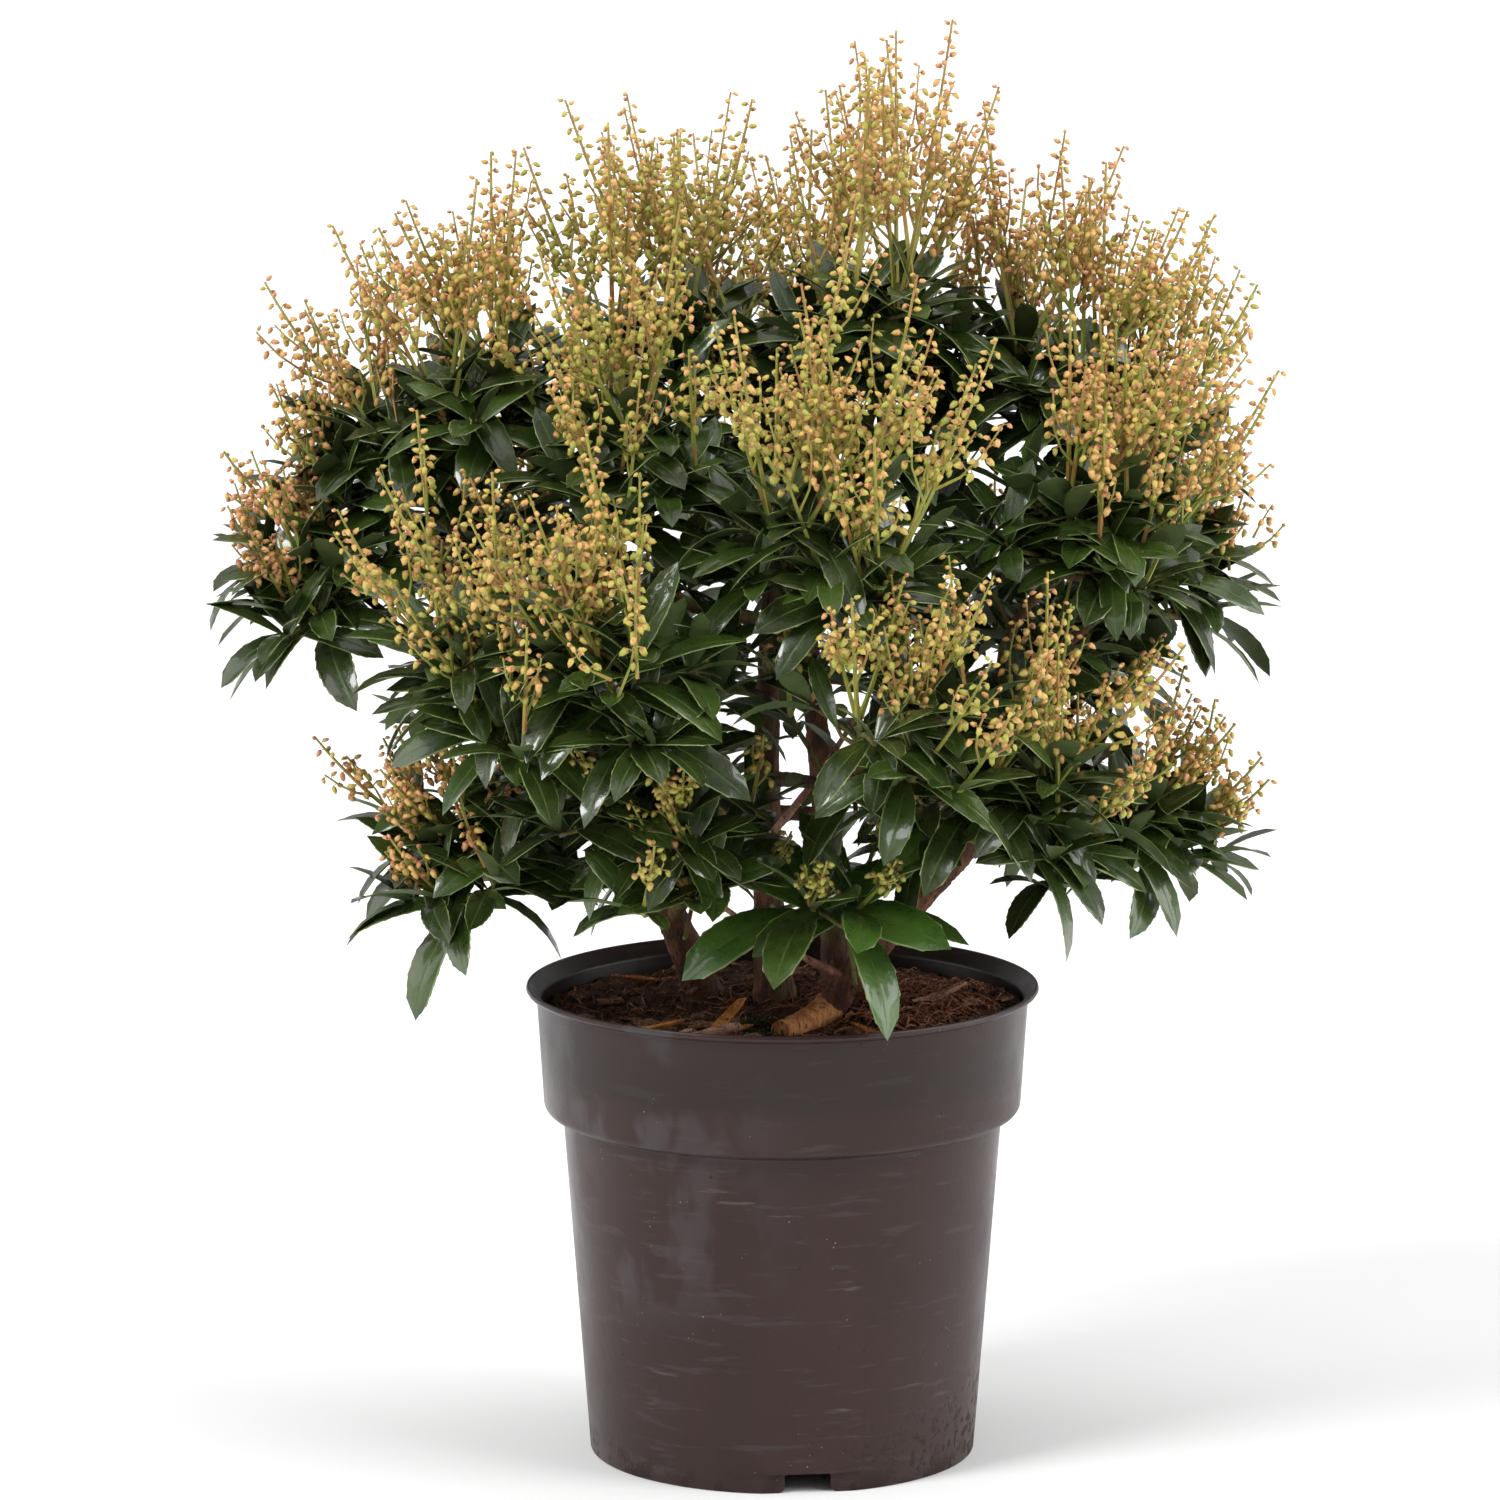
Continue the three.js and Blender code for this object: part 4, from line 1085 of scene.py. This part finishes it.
def branches_of(line, seed):
    """Short side branches on a spike, longest near its foot, that rise close beside it."""
    draw = seeded(seed)
    length = np.linalg.norm(line[2] - line[0])
    ahead = unit(line[2] - line[0])
    turned_by = draw() * 2 * pi
    made = []
    for j in range(SPIKE_BRANCHES):
        outward = around(ahead, turned_by + j * GOLDEN_ANGLE + 0.6 * draw())
        start = along(line, FIRST_BRANCH + BRANCH_STEP * j + 0.06 * draw())[0]
        reach = length * (0.46 - 0.08 * j) * (0.6 + 0.6 * draw())
        end = start + ahead * reach * 0.9 + outward * reach * 0.38
        made.append([start, start + (ahead * 0.34 + outward * 0.34) * reach, end])
    return made


# Besides the spikes of its mass each shoot carries one more, and in the fullest masses two, of
# these shares of their length. The spikes of side shoots are shorter too.
EXTRA_SHARE, SIDE_SHARE = 0.85, 0.8
FULLEST = {"crown_left": 0.9, "crown_centre_left": 0.9, "crown_centre": 0.85, "crown_right": 0.9,
           "crown_shoulder": 0.9, "right_upper": 0.95, "front_upper": 1.3}
flower_lines = []  # (mass, curve, and what SPIKE or BRANCH says)
for name, (_, _, middle, _, _, spikes, tall, _) in MASSES.items():
    extra_tall = FULLEST.get(name, EXTRA_SHARE) * tall
    sprays = [(shoot, spikes, tall) for shoot in SHOOTS[name]]
    sprays += [(dict(shoot, seed=shoot["seed"] + 5), 2 if name in FULLEST else 1, extra_tall)
               for shoot in SHOOTS[name]]
    sprays += [(shoot, 1, SIDE_SHARE * tall) for shoot in SIDE_SHOOTS[name][1::SIDE_SPIKES]]
    for shoot, count, reach in sprays:
        for j, line in enumerate(spikes_of(shoot, middle, count, reach)):
            flower_lines.append((name, line, *SPIKE))
            for branch in branches_of(line, shoot["seed"] + 60 + j):
                flower_lines.append((name, branch, *BRANCH))
flower_lines = [entry for entry in flower_lines if not outside(along(entry[1], [0.5, 1.0]), 0.6)]


def stalk_green():
    material, tree = finish_of("flower stalk", Roughness=0.5, Specular_IOR_Level=0.4)
    height = put(tree, "SeparateXYZ", put(tree, "TexCoord").outputs["Object"]).outputs[2]
    painted(
        tree, (0.34, 0.33, 0.065),
        (patches(tree, 0.012, 0.52, 0.08), (0.25, 0.30, 0.050)),
        (times(tree, ramp(tree, height, 0.40, 0.50), 0.55), (0.44, 0.25, 0.085)),
        (patches(tree, 0.020, 0.57, 0.06), (0.42, 0.21, 0.070)),
    )
    relief(tree, patches(tree, 0.001, stretch=(1, 1, 0.3), output="Value"), 0.0003, 0.5)
    return material


strands = [limb(line, root, tip, steps, *STALK_FORM, n)
           for n, (_, line, _, root, tip, steps) in enumerate(flower_lines)]
flower_stalks = rods("flower_stalks", strands, 0, [stalk_green()])
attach(flower_stalks, "root")


# -------- flower buds
# Plump closed buds about 3.5 mm long, each on its own short stalklet, all the way up the spikes.
# They are yellow-green low on the plant and flushed peach to rose on the crown and at the tips.

BUD_SPACING = 2.05
BUD_WIDTH, BUD_LENGTH = 2.4, 3.5
BUD, CALYX, STALKLET = range(3)


def bud_shape(reach, rise, nod):
    """A bud out along +X from its spike, which runs up +Z. Its stalklet reaches out and rises,
    and `nod` tips the bud down."""
    bm = bmesh.new()
    ring = bmesh.ops.create_circle(bm, segments=3, radius=0.26, cap_ends=False)["verts"]
    for v in ring:
        v.co = Vector((0, v.co.x, v.co.y))
    at = Vector((reach, 0, rise))
    grown = bmesh.ops.extrude_edge_only(bm, edges=list(bm.edges))["geom"]
    bmesh.ops.translate(bm, verts=[v for v in grown if isinstance(v, bmesh.types.BMVert)], vec=at)
    for f in bm.faces:
        f.material_index = STALKLET
    stalklet = set(bm.verts)
    bmesh.ops.create_uvsphere(bm, u_segments=5, v_segments=3, radius=0.5)
    body = [v for v in bm.verts if v not in stalklet]
    for f in {f for v in body for f in v.link_faces}:
        f.material_index = CALYX if f.calc_center_median().z < -0.3 else BUD
    for v in body:
        z = v.co.z
        wide = BUD_WIDTH * (1.10 if z < 0 else 0.92)
        v.co = Vector((v.co.x * wide, v.co.y * wide, z * BUD_LENGTH + (0.4 if z > 0.49 else 0)))
    turn = Matrix.Rotation(radians(90 + nod), 3, "Y")
    for v in body:
        v.co = turn @ (v.co + Vector((0, 0, 1.5))) + at
    bmesh.ops.recalc_face_normals(bm, faces=bm.faces)
    return mesh_of(bm)


# How far a bud's stalklet reaches out and rises, and how far the bud is tipped, in degrees.
BUD_FORMS = ((1.3, 1.5, -15), (1.7, 1.3, 20), (2.1, 0.9, 50), (1.9, 0.5, 80))
BUD_SHAPES = [bud_shape(*form) for form in BUD_FORMS]
BUD_POINTS = [arrays_of(shape)[0] for shape in BUD_SHAPES]
# Of each colour: the bud, its blush and its calyx.
BUD_COLOURS = {
    "green": ((0.37, 0.40, 0.060), (0.48, 0.43, 0.090), (0.49, 0.36, 0.095)),
    "gold": ((0.53, 0.46, 0.085), (0.60, 0.42, 0.110), (0.58, 0.32, 0.105)),
    "peach": ((0.69, 0.48, 0.130), (0.70, 0.37, 0.140), (0.61, 0.26, 0.110)),
    "rose": ((0.65, 0.35, 0.140), (0.65, 0.30, 0.150), (0.52, 0.18, 0.095)),
}
bud_places = {colour: [[] for _ in BUD_SHAPES] for colour in BUD_COLOURS}
# The least flush of each colour after green.
FLUSH_LIMITS = (0.16, 0.37, 0.72)


def bud_colour(name, share, luck):
    """The colour of a bud at a share of its spike's length: pinker towards the tip."""
    flush = MASSES[name][-1] + 0.3 * (share - 0.4) + (luck - 0.5) * 0.9
    return list(BUD_COLOURS)[sum(flush >= limit for limit in FLUSH_LIMITS)]


for n, (name, line, bare, *_) in enumerate(flower_lines):
    draw = seeded(n + 7000)
    count = max(3, int(length_of(line) * (1 - bare) / BUD_SPACING))
    shares = bare + (1 - bare) * (np.arange(count) + 0.5) / count
    onward = along(line, np.minimum(shares + 0.02, 1.0)) - along(line, shares - 0.02)
    spray_luck, turned_by = draw(), draw() * 2 * pi
    for i, (spot, ahead) in enumerate(zip(along(line, shares), onward)):
        ahead = unit(ahead)
        outward = around(ahead, turned_by + i * GOLDEN_ANGLE + (draw() - 0.5) * 0.7)
        share = (shares[i] - bare) / (1 - bare)
        size = (1.08 - 0.42 * share ** 2) * (0.85 + 0.3 * draw())
        form = int(min(3, draw() * 2 + (1 - share) * 2.2))
        turned_bud = np.column_stack([outward, np.cross(ahead, outward), ahead]) * size
        colour = bud_colour(name, share, 0.45 * spray_luck + 0.55 * draw())
        if not outside(BUD_POINTS[form] @ turned_bud.T + spot):
            bud_places[colour][form].append((turned_bud * MM, spot * MM))


def petal(name, base, blush, rough=0.42):
    material, tree = finish_of(name, Roughness=rough, Specular_IOR_Level=0.5)
    painted(tree, base, (patches(tree, 0.0018, 0.5, 0.08), blush))
    relief(tree, patches(tree, 0.0006, output="Value"), 0.0002, 0.4)
    return material


STALKLETS = petal("bud stalklets", (0.38, 0.30, 0.075), (0.42, 0.19, 0.070), 0.5)
for colour, (base, blush, calyx) in BUD_COLOURS.items():
    closed = petal("bud " + colour, base, blush)
    sepals = petal("calyx " + colour, calyx, tuple(0.7 * part for part in calyx))
    finishes = [closed, sepals, STALKLETS]
    buds = copies("buds_" + colour, list(zip(BUD_SHAPES, bud_places[colour])), finishes, 80)
    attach(buds, "root")


# -------- floor, light and camera
# A plain pale studio floor, five large soft lamps and an even fill from all round, and a long
# lens a little above the crown that looks down by ten degrees.

bm = bmesh.new()
bmesh.ops.create_grid(bm, x_segments=1, y_segments=1, size=16)
pale, tree = finish_of("studio floor", Roughness=0.9, Specular_IOR_Level=0.2)
painted(tree, (0.93, 0.93, 0.93), (patches(tree, 2.0, 0.5, 0.2), (0.94, 0.94, 0.94)))
floor = piece("studio_floor", mesh_of(bm), [pale])

world = bpy.data.worlds.new("studio")
world.use_nodes = True
even_fill = world.node_tree.nodes["Background"].inputs
even_fill["Color"].default_value = (1, 1, 1, 1)
even_fill["Strength"].default_value = 0.42
bpy.context.scene.world = world


def lamp(name, place, spread, strength):
    """A large soft lamp far off in that direction, as wide as `spread` degrees."""
    light = bpy.data.lights.new(name, "SUN")
    light.angle, light.energy = radians(spread), strength
    made = bpy.data.objects.new(name, light)
    made.location = place
    made.rotation_euler = Vector(place).to_track_quat("Z", "Y").to_euler()
    bpy.context.scene.collection.objects.link(made)


lamp("key_left", (-2.0, -1.5, 2.2), 20, 1.9)
lamp("fill_right", (2.3, -1.1, 1.6), 30, 1.3)
lamp("top", (0.2, 0.3, 3.0), 60, 0.8)
lamp("side_left", (-3.0, 0.3, 0.9), 40, 0.6)
lamp("side_right", (3.0, 0.3, 0.9), 40, 1.1)

camera = bpy.data.objects.new("camera", bpy.data.cameras.new("camera"))
camera.data.sensor_width = 36
camera.data.lens = 195.05
camera.location = (-0.012, -2.95, 0.785)
camera.rotation_euler = (radians(90 - 10.02), 0, 0)
bpy.context.scene.collection.objects.link(camera)
bpy.context.scene.camera = camera
bpy.context.scene.view_settings.view_transform = "Standard"
